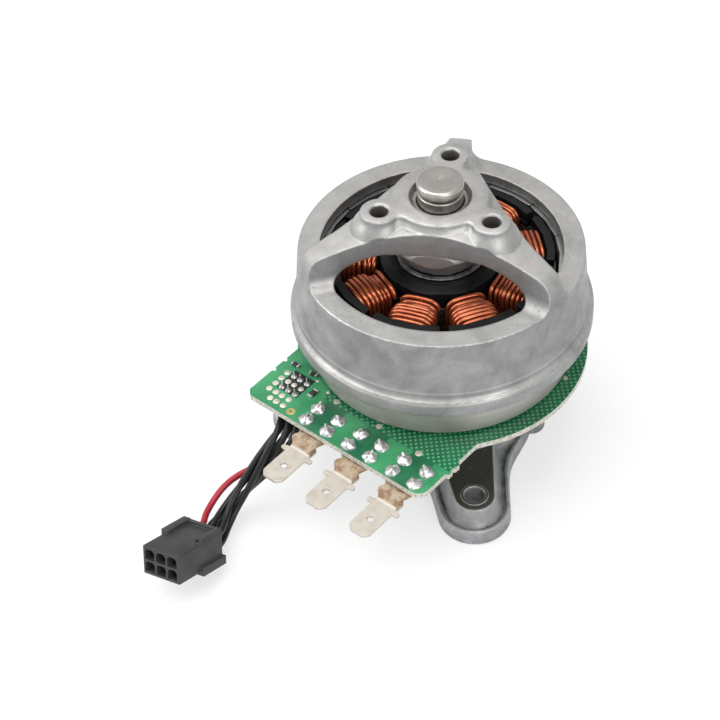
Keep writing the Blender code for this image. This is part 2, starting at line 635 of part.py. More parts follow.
clip = turned("shaft_clip", [
    (GROOVE_RADIUS + FIT, CLIP_TOP), (GROOVE_RADIUS + CLIP_WIDTH, CLIP_TOP),
    (GROOVE_RADIUS + CLIP_WIDTH, CLIP_BOTTOM), (GROOVE_RADIUS + FIT, CLIP_BOTTOM)], 20, STEEL, ROTOR)
clip_outer = GROOVE_RADIUS + CLIP_WIDTH
combine(clip, box("clip_mouth", (clip_outer * 1.3, GROOVE_RADIUS, CLIP_THICKNESS * 4.0), (clip_outer, 0.0, CLIP_TOP)))
shade(clip)


# Stator: laminated core and two insulators share one slot pattern

def slot_outline():
    """Half of a slot between two teeth, then its mirror image, along +X."""
    tilt = math.radians(180.0 / TEETH)
    opening = SLOT_OPENING / 2

    def side(u):
        return (u * math.sin(tilt) - TOOTH_HALF_WIDTH) / math.cos(tilt)

    def meet(radius):
        """Where the tooth's side crosses a circle about the axis."""
        along = math.sqrt(radius ** 2 - TOOTH_HALF_WIDTH ** 2)
        turn = math.radians(180.0 / TEETH) - math.atan2(TOOTH_HALF_WIDTH, along)
        return math.degrees(turn)

    inner = meet(YOKE_RADIUS)
    outer_side = meet(SHOE_INNER_RADIUS)
    mouth = math.degrees(math.asin(opening / SHOE_INNER_RADIUS))
    upper = arc((0.0, 0.0), YOKE_RADIUS, 0.0, inner, 2)
    upper += arc((0.0, 0.0), SHOE_INNER_RADIUS, outer_side, mouth, 3)
    upper.append((TOOTH_TIP_RADIUS + MM, opening))
    lower = [(x, -y) for x, y in reversed(upper[1:])]
    return upper + lower


def slot_cutter(name, bottom, top):
    slot = prism(name + "_one", slot_outline(), bottom, top)
    middle = FIRST_TOOTH + 180.0 / TEETH
    return copies(name, slot, [spin(middle + 360.0 * i / TEETH) for i in range(TEETH)])


core = turned("stator_core", [
    (CORE_BORE, STACK_TOP), (TOOTH_TIP_RADIUS, STACK_TOP),
    (TOOTH_TIP_RADIUS, STACK_BOTTOM), (CORE_BORE, STACK_BOTTOM)], 27, LAMINATION)
combine(core, slot_cutter("core_slots", STACK_BOTTOM - MM, STACK_TOP + MM))
shade(core)

RIM_OUTER = TOOTH_TIP_RADIUS - FIT
plate = STACK_TOP + FIT
collar_top = TUBE_TOP + FIT
rim_top = plate + PLATE_THICKNESS + RIM_HEIGHT
upper_insulator = turned("insulator_upper", [
    (CORE_BORE, collar_top), (TUBE_RADIUS + 1.4 * MM, collar_top),
    (TUBE_RADIUS + 1.6 * MM, collar_top - 0.7 * MM), (COLLAR_OUTER, collar_top - 1.4 * MM),
    (COLLAR_OUTER, plate + PLATE_THICKNESS), (RIM_OUTER - RIM_WIDTH, plate + PLATE_THICKNESS),
    (RIM_OUTER - RIM_WIDTH, rim_top), (RIM_OUTER, rim_top), (RIM_OUTER, plate), (CORE_BORE, plate)],
    27, NYLON)
combine(upper_insulator, slot_cutter("upper_slots", plate - MM, collar_top + MM))
shade(upper_insulator)

plate_low = STACK_BOTTOM - FIT
rim_low = plate_low - PLATE_THICKNESS - RIM_HEIGHT + 0.6 * MM
lower_insulator = turned("insulator_lower", [
    (LEDGE_RADIUS + FIT, plate_low), (RIM_OUTER, plate_low), (RIM_OUTER, rim_low),
    (RIM_OUTER - RIM_WIDTH, rim_low), (RIM_OUTER - RIM_WIDTH, plate_low - PLATE_THICKNESS),
    (COLLAR_OUTER, plate_low - PLATE_THICKNESS), (COLLAR_OUTER, plate_low - PLATE_THICKNESS - 2.4 * MM),
    (LEDGE_RADIUS + FIT, plate_low - PLATE_THICKNESS - 2.4 * MM)], 27, NYLON)
combine(lower_insulator, slot_cutter("lower_slots", rim_low - 2.0 * MM, plate_low + MM))
shade(lower_insulator)


# Coils: a stepped winding round each tooth, with a wider outer layer

def coil_loop(reach, build):
    """A rounded rectangle round the tooth, at one distance from the axis."""
    wide = COIL_HALF_WIDTH + build
    high = COIL_HALF_HEIGHT + build
    corner = 0.4 * MM + build * 0.6
    points = []
    for turn, sy, sz in ((0.0, 1, 1), (90.0, -1, 1), (180.0, -1, -1), (270.0, 1, -1)):
        for y, z in arc((0.0, 0.0), corner, turn, turn + 90.0, 2):
            points.append((reach, sy * (wide - corner) + y, STACK_MIDDLE + sz * (high - corner) + z))
    return points


def coil_mesh():
    stations = []
    pitch = (COIL_OUTER_REACH - COIL_INNER_REACH) / len(COIL_STEPS)
    for turn, share in enumerate(COIL_STEPS):
        build = COIL_BUILD * share
        start = COIL_INNER_REACH + turn * pitch
        stations.append((start + pitch * 0.12, build - COIL_RIDGE))
        stations.append((start + pitch * 0.5, build))
    stations.append((start + pitch * 0.88, build - COIL_RIDGE))
    stations += [(COIL_OUTER_REACH - 0.1 * MM, 0.0), (COIL_INNER_REACH + 0.1 * MM, 0.0)]
    bm = bmesh.new()
    rings = [[bm.verts.new(p) for p in coil_loop(reach, build)] for reach, build in stations]
    count = len(rings[0])
    for k, ring_now in enumerate(rings):
        ring_next = rings[(k + 1) % len(rings)]
        for i in range(count):
            j = (i + 1) % count
            bm.faces.new((ring_now[i], ring_now[j], ring_next[j], ring_next[i]))
    return finish_mesh(bm, "coil", 60.0)


shared_coil = coil_mesh()
shared_coil.materials.append(COPPER)
for number in range(TEETH):
    coil = bpy.data.objects.new(f"coil_{number + 1}", shared_coil)
    coil.rotation_euler = (0.0, 0.0, math.radians(FIRST_TOOTH + 360.0 * number / TEETH))
    PARTS.objects.link(coil)


# Flux ring and magnets

turned("flux_ring", [
    (FLUX_RING_INNER, FLUX_RING_TOP), (FLUX_RING_OUTER, FLUX_RING_TOP),
    (FLUX_RING_OUTER, FLUX_RING_BOTTOM + 0.5 * MM), (FLUX_RING_OUTER - 0.5 * MM, FLUX_RING_BOTTOM),
    (FLUX_RING_INNER, FLUX_RING_BOTTOM)], 48, STEEL, ROTOR)


def magnet_outline():
    """An outer arc and two inner flats, about +X."""
    outer_radius = FLUX_RING_INNER - FIT
    inner_radius = TOOTH_TIP_RADIUS + AIR_GAP
    half = 180.0 / MAGNETS
    trim_outer = math.degrees(MAGNET_SPLIT / 2 / outer_radius)
    trim_inner = math.degrees(MAGNET_SPLIT / 2 / inner_radius)
    flat = inner_radius / math.cos(math.radians(half / 2))
    points = arc((0.0, 0.0), outer_radius, -half + trim_outer, half - trim_outer, 3)
    for angle in (half - trim_inner, 0.0, -half + trim_inner):
        points.append(tuple(polar(angle, flat)[:2]))
    return points


for number in range(MAGNETS):
    magnet = prism(f"magnet_{number + 1:02d}", magnet_outline(),
                   FLUX_RING_BOTTOM + MAGNET_END_DROP, FLUX_RING_TOP, MAGNET, ROTOR)
    magnet.rotation_euler = (0.0, 0.0, math.radians(FIRST_MAGNET_JOINT + 360.0 * (number + 0.5) / MAGNETS))


# Rotor bell: turned body, boss with three ears, three windows in dished pockets

CREASE_RADIUS = BOSS_RADIUS + 1.2 * MM
CREASE_Z = BOSS_TOP - BOSS_RISE


def shoulder():
    """The fillet between the sloping spokes and the drafted outer wall."""
    slope = math.atan(SPOKE_SLOPE)
    draft = math.atan(BELL_DRAFT)
    # the fillet's centre keeps its radius from both lines
    wall = BELL_RING_OUTER - SHOULDER_RADIUS / math.cos(draft)
    cone = CREASE_Z - SHOULDER_RADIUS / math.cos(slope)
    r = (wall + BELL_DRAFT * (BELL_RING_TOP - cone - SPOKE_SLOPE * CREASE_RADIUS)) / (
        1.0 - BELL_DRAFT * SPOKE_SLOPE)
    z = cone - SPOKE_SLOPE * (r - CREASE_RADIUS)
    start = 90.0 - math.degrees(slope)
    return arc((r, z), SHOULDER_RADIUS, start, math.degrees(draft), 5)


under = BOSS_TOP - BOSS_RISE - SPOKE_THICKNESS
span = BELL_RING_INNER - HUB_RADIUS
bell = turned("rotor_bell", [(0.0, CREASE_Z), (CREASE_RADIUS, CREASE_Z)] + shoulder() + [
    (BELL_RING_OUTER, BELL_RING_TOP), (WALL_FOOT, WALL_FOOT_Z),
    (BELL_FLANGE_RADIUS - 0.9 * MM, BELL_BOTTOM + BELL_FLANGE_HEIGHT + 0.4 * MM),
    (BELL_FLANGE_RADIUS - 0.3 * MM, BELL_BOTTOM + BELL_FLANGE_HEIGHT),
    (BELL_FLANGE_RADIUS, BELL_BOTTOM + BELL_FLANGE_HEIGHT - 0.5 * MM),
    (BELL_FLANGE_RADIUS, BELL_BOTTOM + 0.5 * MM), (BELL_FLANGE_RADIUS - 0.5 * MM, BELL_BOTTOM),
    (BELL_BORE, BELL_BOTTOM), (BELL_BORE, BELL_STEP_Z), (BELL_RING_INNER, BELL_STEP_Z),
    (BELL_RING_INNER, BELL_RING_TOP - 0.4 * MM),
    (HUB_RADIUS + span * 0.93, under - SPOKE_THICKNESS * 0.9),
    (HUB_RADIUS + span * 0.81, under - SPOKE_THICKNESS * 0.56),
    (HUB_RADIUS + span * 0.54, under - SPOKE_THICKNESS * 0.18), (HUB_RADIUS + span * 0.4, under),
    (HUB_RADIUS + 1.0 * MM, under), (HUB_RADIUS, under - 1.0 * MM),
    (HUB_RADIUS, HUB_BOTTOM + 0.4 * MM), (HUB_RADIUS - 0.4 * MM, HUB_BOTTOM), (0.0, HUB_BOTTOM)],
    48, CAST, ROTOR)


def boss_outline(grow, end_grow):
    """The boss disc with its three ears, joined by hollow fillets."""
    disc = BOSS_RADIUS + grow
    ear = EAR_RADIUS + end_grow
    fillet = EAR_FILLET + grow * 0.4
    to_disc = disc + fillet
    to_ear = ear + fillet
    cosine = (EAR_REACH ** 2 + to_disc ** 2 - to_ear ** 2) / (2.0 * EAR_REACH * to_disc)
    side = math.degrees(math.acos(cosine))
    points = []
    for middle in EAR_ANGLES:
        centre = polar(middle, EAR_REACH)
        for sign in (-1.0, 1.0):
            hollow = polar(middle + sign * side, to_disc)
            toward_disc = math.degrees(math.atan2(-hollow.y, -hollow.x))
            toward_ear = math.degrees(math.atan2(centre.y - hollow.y, centre.x - hollow.x))
            sweep = (toward_ear - toward_disc + 180.0) % 360.0 - 180.0
            bend = arc(hollow, fillet, toward_disc, toward_disc + sweep, 4)
            if sign < 0.0:
                points += bend
                start = toward_ear + 180.0
                turn = (2.0 * (middle - start)) % 360.0
                points += arc(centre, ear, start, start + turn, 9)[1:-1]
            else:
                points += list(reversed(bend))
        gap_start = middle + side
        points += arc((0.0, 0.0), disc, gap_start, gap_start + 120.0 - 2.0 * side, 5)[1:-1]
    return [(p[0], p[1]) for p in points]


boss_levels = (
    (CREASE_Z - SPOKE_THICKNESS * 0.9, 3.4 * MM, 3.4 * MM),
    (CREASE_Z - 1.0 * MM, 1.3 * MM, 1.5 * MM),
    (CREASE_Z, 1.0 * MM, 0.8 * MM),
    (CREASE_Z + 0.7 * MM, 0.35 * MM, 0.3 * MM),
    (BOSS_TOP - BOSS_EDGE, 0.0, 0.0),
    (BOSS_TOP - BOSS_EDGE * 0.3, -BOSS_EDGE * 0.3, -BOSS_EDGE * 0.3),
    (BOSS_TOP, -BOSS_EDGE, -BOSS_EDGE))
boss = loft("boss_with_ears", [level(boss_outline(grow, ends), z) for z, grow, ends in boss_levels])
combine(bell, boss, "UNION")

CURVE_CENTRE = WINDOW_REACH + WINDOW_CURVE
pocket_profile = [(0.0, BOSS_TOP + 4.0 * MM), (WINDOW_CURVE, BOSS_TOP + 4.0 * MM)]
pocket_profile += arc((WINDOW_CURVE - POCKET_FILLET, BELL_RING_TOP + POCKET_FILLET), POCKET_FILLET, 0.0, -90.0, 4)
pocket_profile.append((0.0, BELL_RING_TOP))
pocket = turned("pocket_1", pocket_profile, 64)
window_angles = [angle - 60.0 for angle in EAR_ANGLES]
for index, angle in enumerate(window_angles):
    if index:
        pocket = turned(f"pocket_{index + 1}", pocket_profile, 64)
    pocket.location = polar(angle, CURVE_CENTRE)
    pocket.rotation_euler = (0.0, 0.0, math.radians(angle))
    combine(bell, pocket)


def window_outline():
    """The pocket's curve and the ring's inner circle, with rounded corners."""
    deeper = WINDOW_CURVE + 0.1 * MM
    ring_radius = BELL_RING_INNER
    to_curve = deeper - WINDOW_CORNER
    to_ring = ring_radius - WINDOW_CORNER
    along = (CURVE_CENTRE ** 2 + to_ring ** 2 - to_curve ** 2) / (2.0 * CURVE_CENTRE)
    across = math.sqrt(to_ring ** 2 - along ** 2)
    on_ring = math.degrees(math.atan2(across, along))
    on_curve = math.degrees(math.atan2(across, along - CURVE_CENTRE))
    points = arc((0.0, 0.0), ring_radius, -on_ring, on_ring, 13)
    points += arc((along, across), WINDOW_CORNER, on_ring, on_curve, 4)[1:]
    points += arc((CURVE_CENTRE, 0.0), deeper, on_curve, 360.0 - on_curve, 11)[1:]
    points += arc((along, -across), WINDOW_CORNER, 360.0 - on_curve, 360.0 - on_ring, 4)[1:-1]
    return points


window = prism("window_one", window_outline(), BELL_STEP_Z - 2.0 * MM, BOSS_TOP + 2.0 * MM)
combine(bell, copies("windows", window, [spin(angle) for angle in window_angles]))

combine(bell, turned("shaft_recess", [
    (0.0, BOSS_TOP + MM), (RECESS_RADIUS + 0.6 * MM, BOSS_TOP + MM), (RECESS_RADIUS, BOSS_TOP - 0.1 * MM),
    (RECESS_RADIUS - RECESS_DRAFT, RECESS_FLOOR), (SHAFT_HUB_RADIUS + FIT, RECESS_FLOOR),
    (SHAFT_HUB_RADIUS + FIT, HUB_BOTTOM - MM), (0.0, HUB_BOTTOM - MM)], 24))

ear_hole = turned("ear_hole", [
    (0.0, BOSS_TOP + MM), (EAR_HOLE_RADIUS + EAR_HOLE_CHAMFER + MM, BOSS_TOP + MM),
    (EAR_HOLE_RADIUS, BOSS_TOP - EAR_HOLE_CHAMFER), (EAR_HOLE_RADIUS, under - 3.0 * MM), (0.0, under - 3.0 * MM)], 16)
combine(bell, copies("ear_holes", ear_hole, [
    Matrix.Translation(polar(angle, EAR_REACH)) for angle in EAR_ANGLES]))
shade(bell, 32.0)


# Circuit board

def board_outline():
    right = BOARD_RIGHT
    left = -BOARD_LEFT
    front = -BOARD_FRONT
    start = -math.degrees(math.acos(right / BOARD_RADIUS))
    stop = 180.0 + math.degrees(math.acos(BOARD_LEFT / BOARD_RADIUS))
    points = arc((0.0, 0.0), BOARD_RADIUS, start, stop, 35)
    # two bites on the left side, where the board was broken out of its panel
    side_start = points[-1][1]
    middle = side_start + (front + BOARD_CHAMFER - side_start) * BITE_PLACE
    for place in (middle + BITE_SPACING / 2, middle - BITE_SPACING / 2):
        for share, depth in ((0.5, 0.0), (0.25, BITE_DEPTH), (-0.25, BITE_DEPTH), (-0.5, 0.0)):
            points.append((left + depth, place + share * BITE_WIDTH))
    points += [(left, front + BOARD_CHAMFER), (left + BOARD_CHAMFER, front)]
    points += arc((right - BOARD_CORNER, front + BOARD_CORNER), BOARD_CORNER, -90.0, 0.0, 5)
    side_start = points[0][1]
    tab = side_start + (front + BOARD_CORNER - side_start) * BOARD_TAB_PLACE
    for share, out in ((-0.5, 0.0), (-0.42, 1.0), (-0.15, 1.0), (-0.08, 0.4), (0.08, 0.4),
                       (0.15, 1.0), (0.42, 1.0), (0.5, 0.0)):
        points.append((right + out * BOARD_TAB_DEPTH, tab + share * BOARD_TAB_LENGTH))
    return points


board = prism("circuit_board", board_outline(), BOARD_BOTTOM, BOARD_TOP, BOARD)
combine(board, turned("board_bore", [
    (0.0, BOARD_TOP + MM), (LEDGE_RADIUS + FIT, BOARD_TOP + MM),
    (LEDGE_RADIUS + FIT, BOARD_BOTTOM - MM), (0.0, BOARD_BOTTOM - MM)], 28))


def board_drill(name, radius, sides, places):
    drill = turned(name + "_one", [
        (0.0, BOARD_TOP + MM), (radius, BOARD_TOP + MM), (radius, BOARD_BOTTOM - MM), (0.0, BOARD_BOTTOM - MM)],
        sides)
    combine(board, copies(name, drill, [Matrix.Translation(Vector((x, y, 0.0))) for x, y in places]))


leg_places = [(x + side * LEG_SPREAD, -y) for x in TERMINAL_X for y in LEG_ROWS for side in (-1.0, 1.0)]
post_places = [tuple(polar(angle, BOARD_POST_REACH)[:2]) for angle in BOARD_POST_ANGLES]
board_drill("leg_holes", LEG_RADIUS + FIT, 6, leg_places)
board_drill("screw_holes", BOARD_SCREW_RADIUS + FIT, 12, post_places)
shade(board)

for number, (x, y) in enumerate(post_places):
    head = BOARD_TOP + FIT
    screw = turned(f"board_screw_{number + 1}", [
        (0.0, head + BOARD_SCREW_HEAD_HEIGHT), (BOARD_SCREW_HEAD - 0.3 * MM, head + BOARD_SCREW_HEAD_HEIGHT),
        (BOARD_SCREW_HEAD, head + BOARD_SCREW_HEAD_HEIGHT - 0.3 * MM), (BOARD_SCREW_HEAD, head),
        (BOARD_SCREW_RADIUS, head), (BOARD_SCREW_RADIUS, BOARD_TOP - BOARD_SCREW_LENGTH),
        (0.0, BOARD_TOP - BOARD_SCREW_LENGTH)], 12, STEEL)
    screw.location = (x, y, 0.0)


# Terminals: a bent strip under the board, four legs soldered above it

def terminal_strip():
    """Stations along the strip: distance forward, top height, half width."""
    plate_z = BOARD_BOTTOM - FIT
    half = TAB_WIDTH / 2
    shoulder_half = TAB_SHOULDER_WIDTH / 2
    wide = TERMINAL_PLATE_WIDTH / 2
    step_start = BOARD_FRONT + 1.6 * MM
    step_end = TAB_SHOULDER - 1.2 * MM
    drop = plate_z - TAB_TOP
    return (
        (TERMINAL_PLATE_BACK, plate_z, wide),
        (BOARD_FRONT - 0.6 * MM, plate_z, wide),
        (BOARD_FRONT, plate_z, half + 0.3 * MM),
        (step_start, plate_z - drop * 0.05, half + 0.1 * MM),
        (step_start + (step_end - step_start) * 0.35, plate_z - drop * 0.3, half),
        (step_start + (step_end - step_start) * 0.7, TAB_TOP + drop * 0.2, half),
        (step_end, TAB_TOP, half + 0.2 * MM),
        (TAB_SHOULDER - 0.7 * MM, TAB_TOP, shoulder_half),
        (TAB_SHOULDER + 0.5 * MM, TAB_TOP, shoulder_half),
        (TAB_SHOULDER + 0.9 * MM, TAB_TOP, half),
        (TAB_TIP - 1.3 * MM, TAB_TOP, half),
        (TAB_TIP, TAB_TOP, half - 1.2 * MM))


def solder_leg(name):
    foot = BOARD_TOP + FIT
    return turned(name, [
        (0.0, foot + SOLDER_HEIGHT), (0.3 * MM, foot + SOLDER_HEIGHT - 0.1 * MM),
        (LEG_RADIUS, foot + SOLDER_HEIGHT * 0.5), (SOLDER_RADIUS * 0.72, foot + SOLDER_HEIGHT * 0.2),
        (SOLDER_RADIUS, foot), (LEG_RADIUS, foot), (LEG_RADIUS, BOARD_BOTTOM - FIT - TAB_THICKNESS * 0.5),
        (0.0, BOARD_BOTTOM - FIT - TAB_THICKNESS * 0.5)], 6)


for number, x in enumerate(TERMINAL_X):
    bm = bmesh.new()
    rows = [(bm.verts.new((x - half, -y, z)), bm.verts.new((x + half, -y, z)))
            for y, z, half in terminal_strip()]
    for (a, b), (c, d) in zip(rows, rows[1:]):
        bm.faces.new((a, c, d, b))
    bmesh.ops.recalc_face_normals(bm, faces=bm.faces)
    if sum(face.normal.z for face in bm.faces) < 0.0:
        bmesh.ops.reverse_faces(bm, faces=bm.faces)
    strip = bpy.data.meshes.new("terminal")
    bm.to_mesh(strip)
    bm.free()
    terminal = add_object(f"terminal_{number + 1}", strip, TIN)
    wall = terminal.modifiers.new("thickness", "SOLIDIFY")
    wall.thickness = TAB_THICKNESS
    wall.offset = -1.0
    places = [(x + side * LEG_SPREAD, -y) for y in LEG_ROWS for side in (-1.0, 1.0)]
    legs = copies(f"legs_{number + 1}", solder_leg(f"leg_{number + 1}"), [
        Matrix.Translation(Vector((px, py, 0.0))) for px, py in places])
    combine(terminal, legs, "UNION")
    hole = turned(f"tab_hole_{number + 1}", [
        (0.0, TAB_TOP + MM), (TAB_HOLE_RADIUS, TAB_TOP + MM),
        (TAB_HOLE_RADIUS, TAB_TOP - TAB_THICKNESS - MM), (0.0, TAB_TOP - TAB_THICKNESS - MM)], 16)
    hole.location = (x, -(TAB_TIP - TAB_HOLE_FROM_TIP), 0.0)
    combine(terminal, hole)
    shade(terminal)


# Rotor position sensors and the one large chip, on the board's top

for number, angle in enumerate(SENSOR_ANGLES):
    sensor = box(f"rotor_sensor_{number + 1}", SENSOR_SIZE, (0.0, 0.0, SENSOR_SIZE[2] / 2), CHIP)
    sensor.location = polar(angle, FLUX_RING_OUTER + SENSOR_FROM_RING, BOARD_TOP + FIT)
    sensor.rotation_euler = (0.0, 0.0, math.radians(angle))

chip = box("board_chip", CHIP_SIZE, (0.0, 0.0, CHIP_SIZE[2] / 2), CHIP)
chip.location = (CHIP_X, CHIP_BACK - BOARD_FRONT, BOARD_TOP + FIT)


# Plug: a housing with two rows of three cavities and raised rails at its back

PLUG_FRAME = (Matrix.Translation(Vector(PLUG_CENTRE)) @ Matrix.Rotation(math.radians(PLUG_YAW), 4, "Z")
              @ Matrix.Rotation(math.radians(PLUG_PITCH), 4, "Y")
              @ Matrix.Rotation(math.radians(PLUG_ROLL), 4, "X"))

# along the housing -X is its open front and +X the side of the wires
plug = box("plug_housing", (PLUG_LENGTH, PLUG_WIDTH, PLUG_HEIGHT), (0.0, 0.0, 0.0), PLUG)
bevel = plug.modifiers.new("edges", "BEVEL")
bevel.width = 0.35 * MM
bevel.segments = 1
half = CAVITY_SIZE / 2
cavity = loft("cavity_one", [[
    (x, -half, -half), (x, half, -half), (x, half, half - CAVITY_CORNER), (x, half - CAVITY_CORNER, half),
    (x, CAVITY_CORNER - half, half), (x, -half, half - CAVITY_CORNER)]
    for x in (CAVITY_DEPTH - PLUG_LENGTH / 2, -PLUG_LENGTH / 2 - MM)])
combine(plug, copies("cavities", cavity, [
    Matrix.Translation(Vector((0.0, column * PLUG_PITCH_ACROSS, row * PLUG_PITCH_UP)))
    for column in (-1.0, 0.0, 1.0) for row in (-0.5, 0.5)]))
# square rails stand off two opposite edges, from the middle to the back
rail_section = RAIL_WIDTH + RAIL_HEIGHT
for side, label in ((1.0, "upper"), (-1.0, "lower")):
    rail = box(f"rail_{label}", (RAIL_LENGTH, rail_section, rail_section), (
        (PLUG_LENGTH - RAIL_LENGTH) / 2 + 0.2 * MM, side * (PLUG_WIDTH / 2 + RAIL_HEIGHT - rail_section / 2),
        side * (PLUG_HEIGHT / 2 + RAIL_HEIGHT - rail_section / 2)))
    combine(plug, rail, "UNION")
# a low wall closes the top between them, with a slot in its free end
wall = box("top_wall", (RAIL_LENGTH, RAIL_WIDTH, 2.0 * RAIL_HEIGHT), (
    (PLUG_LENGTH - RAIL_LENGTH) / 2 + 0.1 * MM, 0.1 * MM - (PLUG_WIDTH - RAIL_WIDTH) / 2, PLUG_HEIGHT / 2))
combine(plug, wall, "UNION")
back = box("top_back", (1.0 * MM, PLUG_WIDTH - 2.0 * RAIL_WIDTH + 1.0 * MM, 2.0 * RAIL_HEIGHT), (
    PLUG_LENGTH / 2 - 0.5 * MM, 0.0, PLUG_HEIGHT / 2 - 0.1 * MM))
combine(plug, back, "UNION")
slot = box("wall_slot", (2.0 * MM, RAIL_SLOT, RAIL_SLOT), (
    PLUG_LENGTH / 2 - RAIL_LENGTH, 0.1 * MM - (PLUG_WIDTH - RAIL_WIDTH) / 2,
    PLUG_HEIGHT / 2 + RAIL_HEIGHT - 0.15 * MM))
combine(plug, slot)
shade(plug)
plug.matrix_world = PLUG_FRAME


# Wires: six insulated leads from the pins under the board to the plug's back

def smooth_route(points, count):
    """Points on a smooth curve that passes through every chosen point."""
    chosen = [np.array(p) for p in points]
    chosen = [2 * chosen[0] - chosen[1]] + chosen + [2 * chosen[-1] - chosen[-2]]
    curve = []
    for a, b, c, d in zip(chosen, chosen[1:], chosen[2:], chosen[3:]):
        for step in np.linspace(0.0, 1.0, 24, endpoint=False):
            curve.append(0.5 * (2 * b + (c - a) * step + (2 * a - 5 * b + 4 * c - d) * step ** 2
                                + (3 * b - a - 3 * c + d) * step ** 3))
    curve.append(chosen[-2])
    curve = np.array(curve)
    lengths = np.concatenate(([0.0], np.cumsum(np.linalg.norm(np.diff(curve, axis=0), axis=1))))
    wanted = np.linspace(0.0, lengths[-1], count)
    return np.column_stack([np.interp(wanted, lengths, curve[:, axis]) for axis in range(3)])


# the bundle's middle line, in millimetres, from under the pins to the plug
bundle_route = (
    (-19.4, -35.6, 26.4), (-19.1, -36.3, 23.6), (-17.6, -38.9, 21.8), (-15.7, -43.0, 20.4),
    (-15.4, -47.6, 18.0), (-16.9, -51.6, 13.9), (-18.6, -55.2, 9.9), (-19.7, -58.8, 6.9),
    (-20.1, -62.4, 5.0), (-19.6, -66.2, 4.2), (-18.6, -69.6, 4.5), (-17.0, -74.0, 5.8))


def wire_points(column, row, swing):
    """One lead: its place in the bundle turns half round on the way."""
    middle = smooth_route(bundle_route, 17) * MM
    count = len(middle)
    plug_back = PLUG_FRAME @ Vector((PLUG_LENGTH / 2 + FIT, column * PLUG_PITCH_ACROSS, row * PLUG_PITCH_UP))
    before_plug = PLUG_FRAME @ Vector((PLUG_LENGTH / 2 + 3.2 * MM, column * PLUG_PITCH_ACROSS * 0.9,
                                       row * PLUG_PITCH_UP))
    pin = Vector((PIN_CENTRE[0] + column * PIN_PITCH_X, PIN_CENTRE[1] + row * PIN_PITCH_Y, BOARD_BOTTOM - FIT))
    points = [pin, pin - Vector((0.0, 0.0, 1.2 * MM))]
    across_start = Vector((1.0, 0.0, 0.0))
    across_end = (PLUG_FRAME.to_3x3() @ Vector((0.0, -1.0, 0.0))).normalized()
    for i in range(2, count - 2):
        share = i / (count - 1)
        tangent = Vector(middle[i + 1] - middle[i - 1]).normalized()
        across = across_start.lerp(across_end, share)
        across = (across - tangent * across.dot(tangent)).normalized()
        up = across.cross(tangent)
        gather = min(1.0, share * 3.0)
        spread = max(0.0, (share - 0.75) * 4.0)
        side = column * (PIN_PITCH_X + (PLUG_PITCH_ACROSS - PIN_PITCH_X) * spread)
        rise = row * (PIN_PITCH_Y + (BUNDLE_PITCH - PIN_PITCH_Y) * gather
                      + (PLUG_PITCH_UP - BUNDLE_PITCH) * spread)
        turn = math.pi * min(1.0, max(0.0, (share - 0.15) / 0.7))
        turned_side = side * math.cos(turn) - rise * math.sin(turn)
        turned_rise = side * math.sin(turn) + rise * math.cos(turn)
        bow = swing * math.sin(math.pi * min(1.0, max(0.0, (share - 0.38) / 0.57))) ** 2
        points.append(Vector(middle[i]) + across * turned_side + up * turned_rise
                      + Vector((-1.0, -0.2, 0.4)) * bow)
    points += [before_plug, plug_back]
    return points


def wire(name, points, material):
    curve = bpy.data.curves.new(name, "CURVE")
    curve.dimensions = "3D"
    curve.bevel_depth = WIRE_RADIUS
    curve.bevel_resolution = 2
    curve.use_fill_caps = True
    spline = curve.splines.new("POLY")
    spline.points.add(len(points) - 1)
    for point, place in zip(spline.points, points):
        point.co = (*place, 1.0)
    return add_object(name, curve, material)


black = 0
for row in (0.5, -0.5):
    for column in (-1.0, 0.0, 1.0):
        is_red = column > 0.5 and row > 0.0
        black += 0 if is_red else 1
        name = "wire_red" if is_red else f"wire_black_{black}"
        wire(name, wire_points(column, row, RED_BOW if is_red else 0.0), RED if is_red else BLACK)
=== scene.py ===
import math
import random

import bmesh
import bpy
import numpy as np
from mathutils import Matrix, Vector


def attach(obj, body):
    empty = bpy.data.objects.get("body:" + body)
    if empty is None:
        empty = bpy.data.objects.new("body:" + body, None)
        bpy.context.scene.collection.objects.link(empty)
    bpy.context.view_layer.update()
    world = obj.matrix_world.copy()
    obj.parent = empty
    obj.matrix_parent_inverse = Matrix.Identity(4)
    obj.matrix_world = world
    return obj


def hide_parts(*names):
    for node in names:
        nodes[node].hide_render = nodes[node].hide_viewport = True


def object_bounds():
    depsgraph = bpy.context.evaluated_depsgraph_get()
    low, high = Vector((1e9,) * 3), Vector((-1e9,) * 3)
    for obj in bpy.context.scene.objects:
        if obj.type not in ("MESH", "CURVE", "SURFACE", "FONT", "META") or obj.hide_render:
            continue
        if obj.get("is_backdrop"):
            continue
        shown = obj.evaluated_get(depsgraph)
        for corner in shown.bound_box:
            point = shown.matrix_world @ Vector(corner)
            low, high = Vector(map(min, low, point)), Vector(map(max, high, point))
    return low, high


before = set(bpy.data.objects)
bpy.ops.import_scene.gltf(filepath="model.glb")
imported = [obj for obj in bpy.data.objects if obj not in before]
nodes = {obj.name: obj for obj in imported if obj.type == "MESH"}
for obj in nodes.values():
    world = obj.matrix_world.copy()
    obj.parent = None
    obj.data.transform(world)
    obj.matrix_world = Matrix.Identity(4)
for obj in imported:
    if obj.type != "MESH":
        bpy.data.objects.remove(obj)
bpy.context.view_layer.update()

mm = 0.001
print("frame loaded:", len(nodes), "solids")


# small helpers for angles and meshes

def polar(angle, reach, z=0.0):
    turn = math.radians(angle)
    return Vector((reach * math.cos(turn), reach * math.sin(turn), z))


def spinZ(angle):
    return Matrix.Rotation(math.radians(angle), 4, "Z")


def arcPoints(centre, radius, start, stop, count):
    made = []
    for i in range(count):
        turn = math.radians(start + (stop - start) * i / (count - 1))
        made.append((centre[0] + radius * math.cos(turn), centre[1] + radius * math.sin(turn)))
    return made


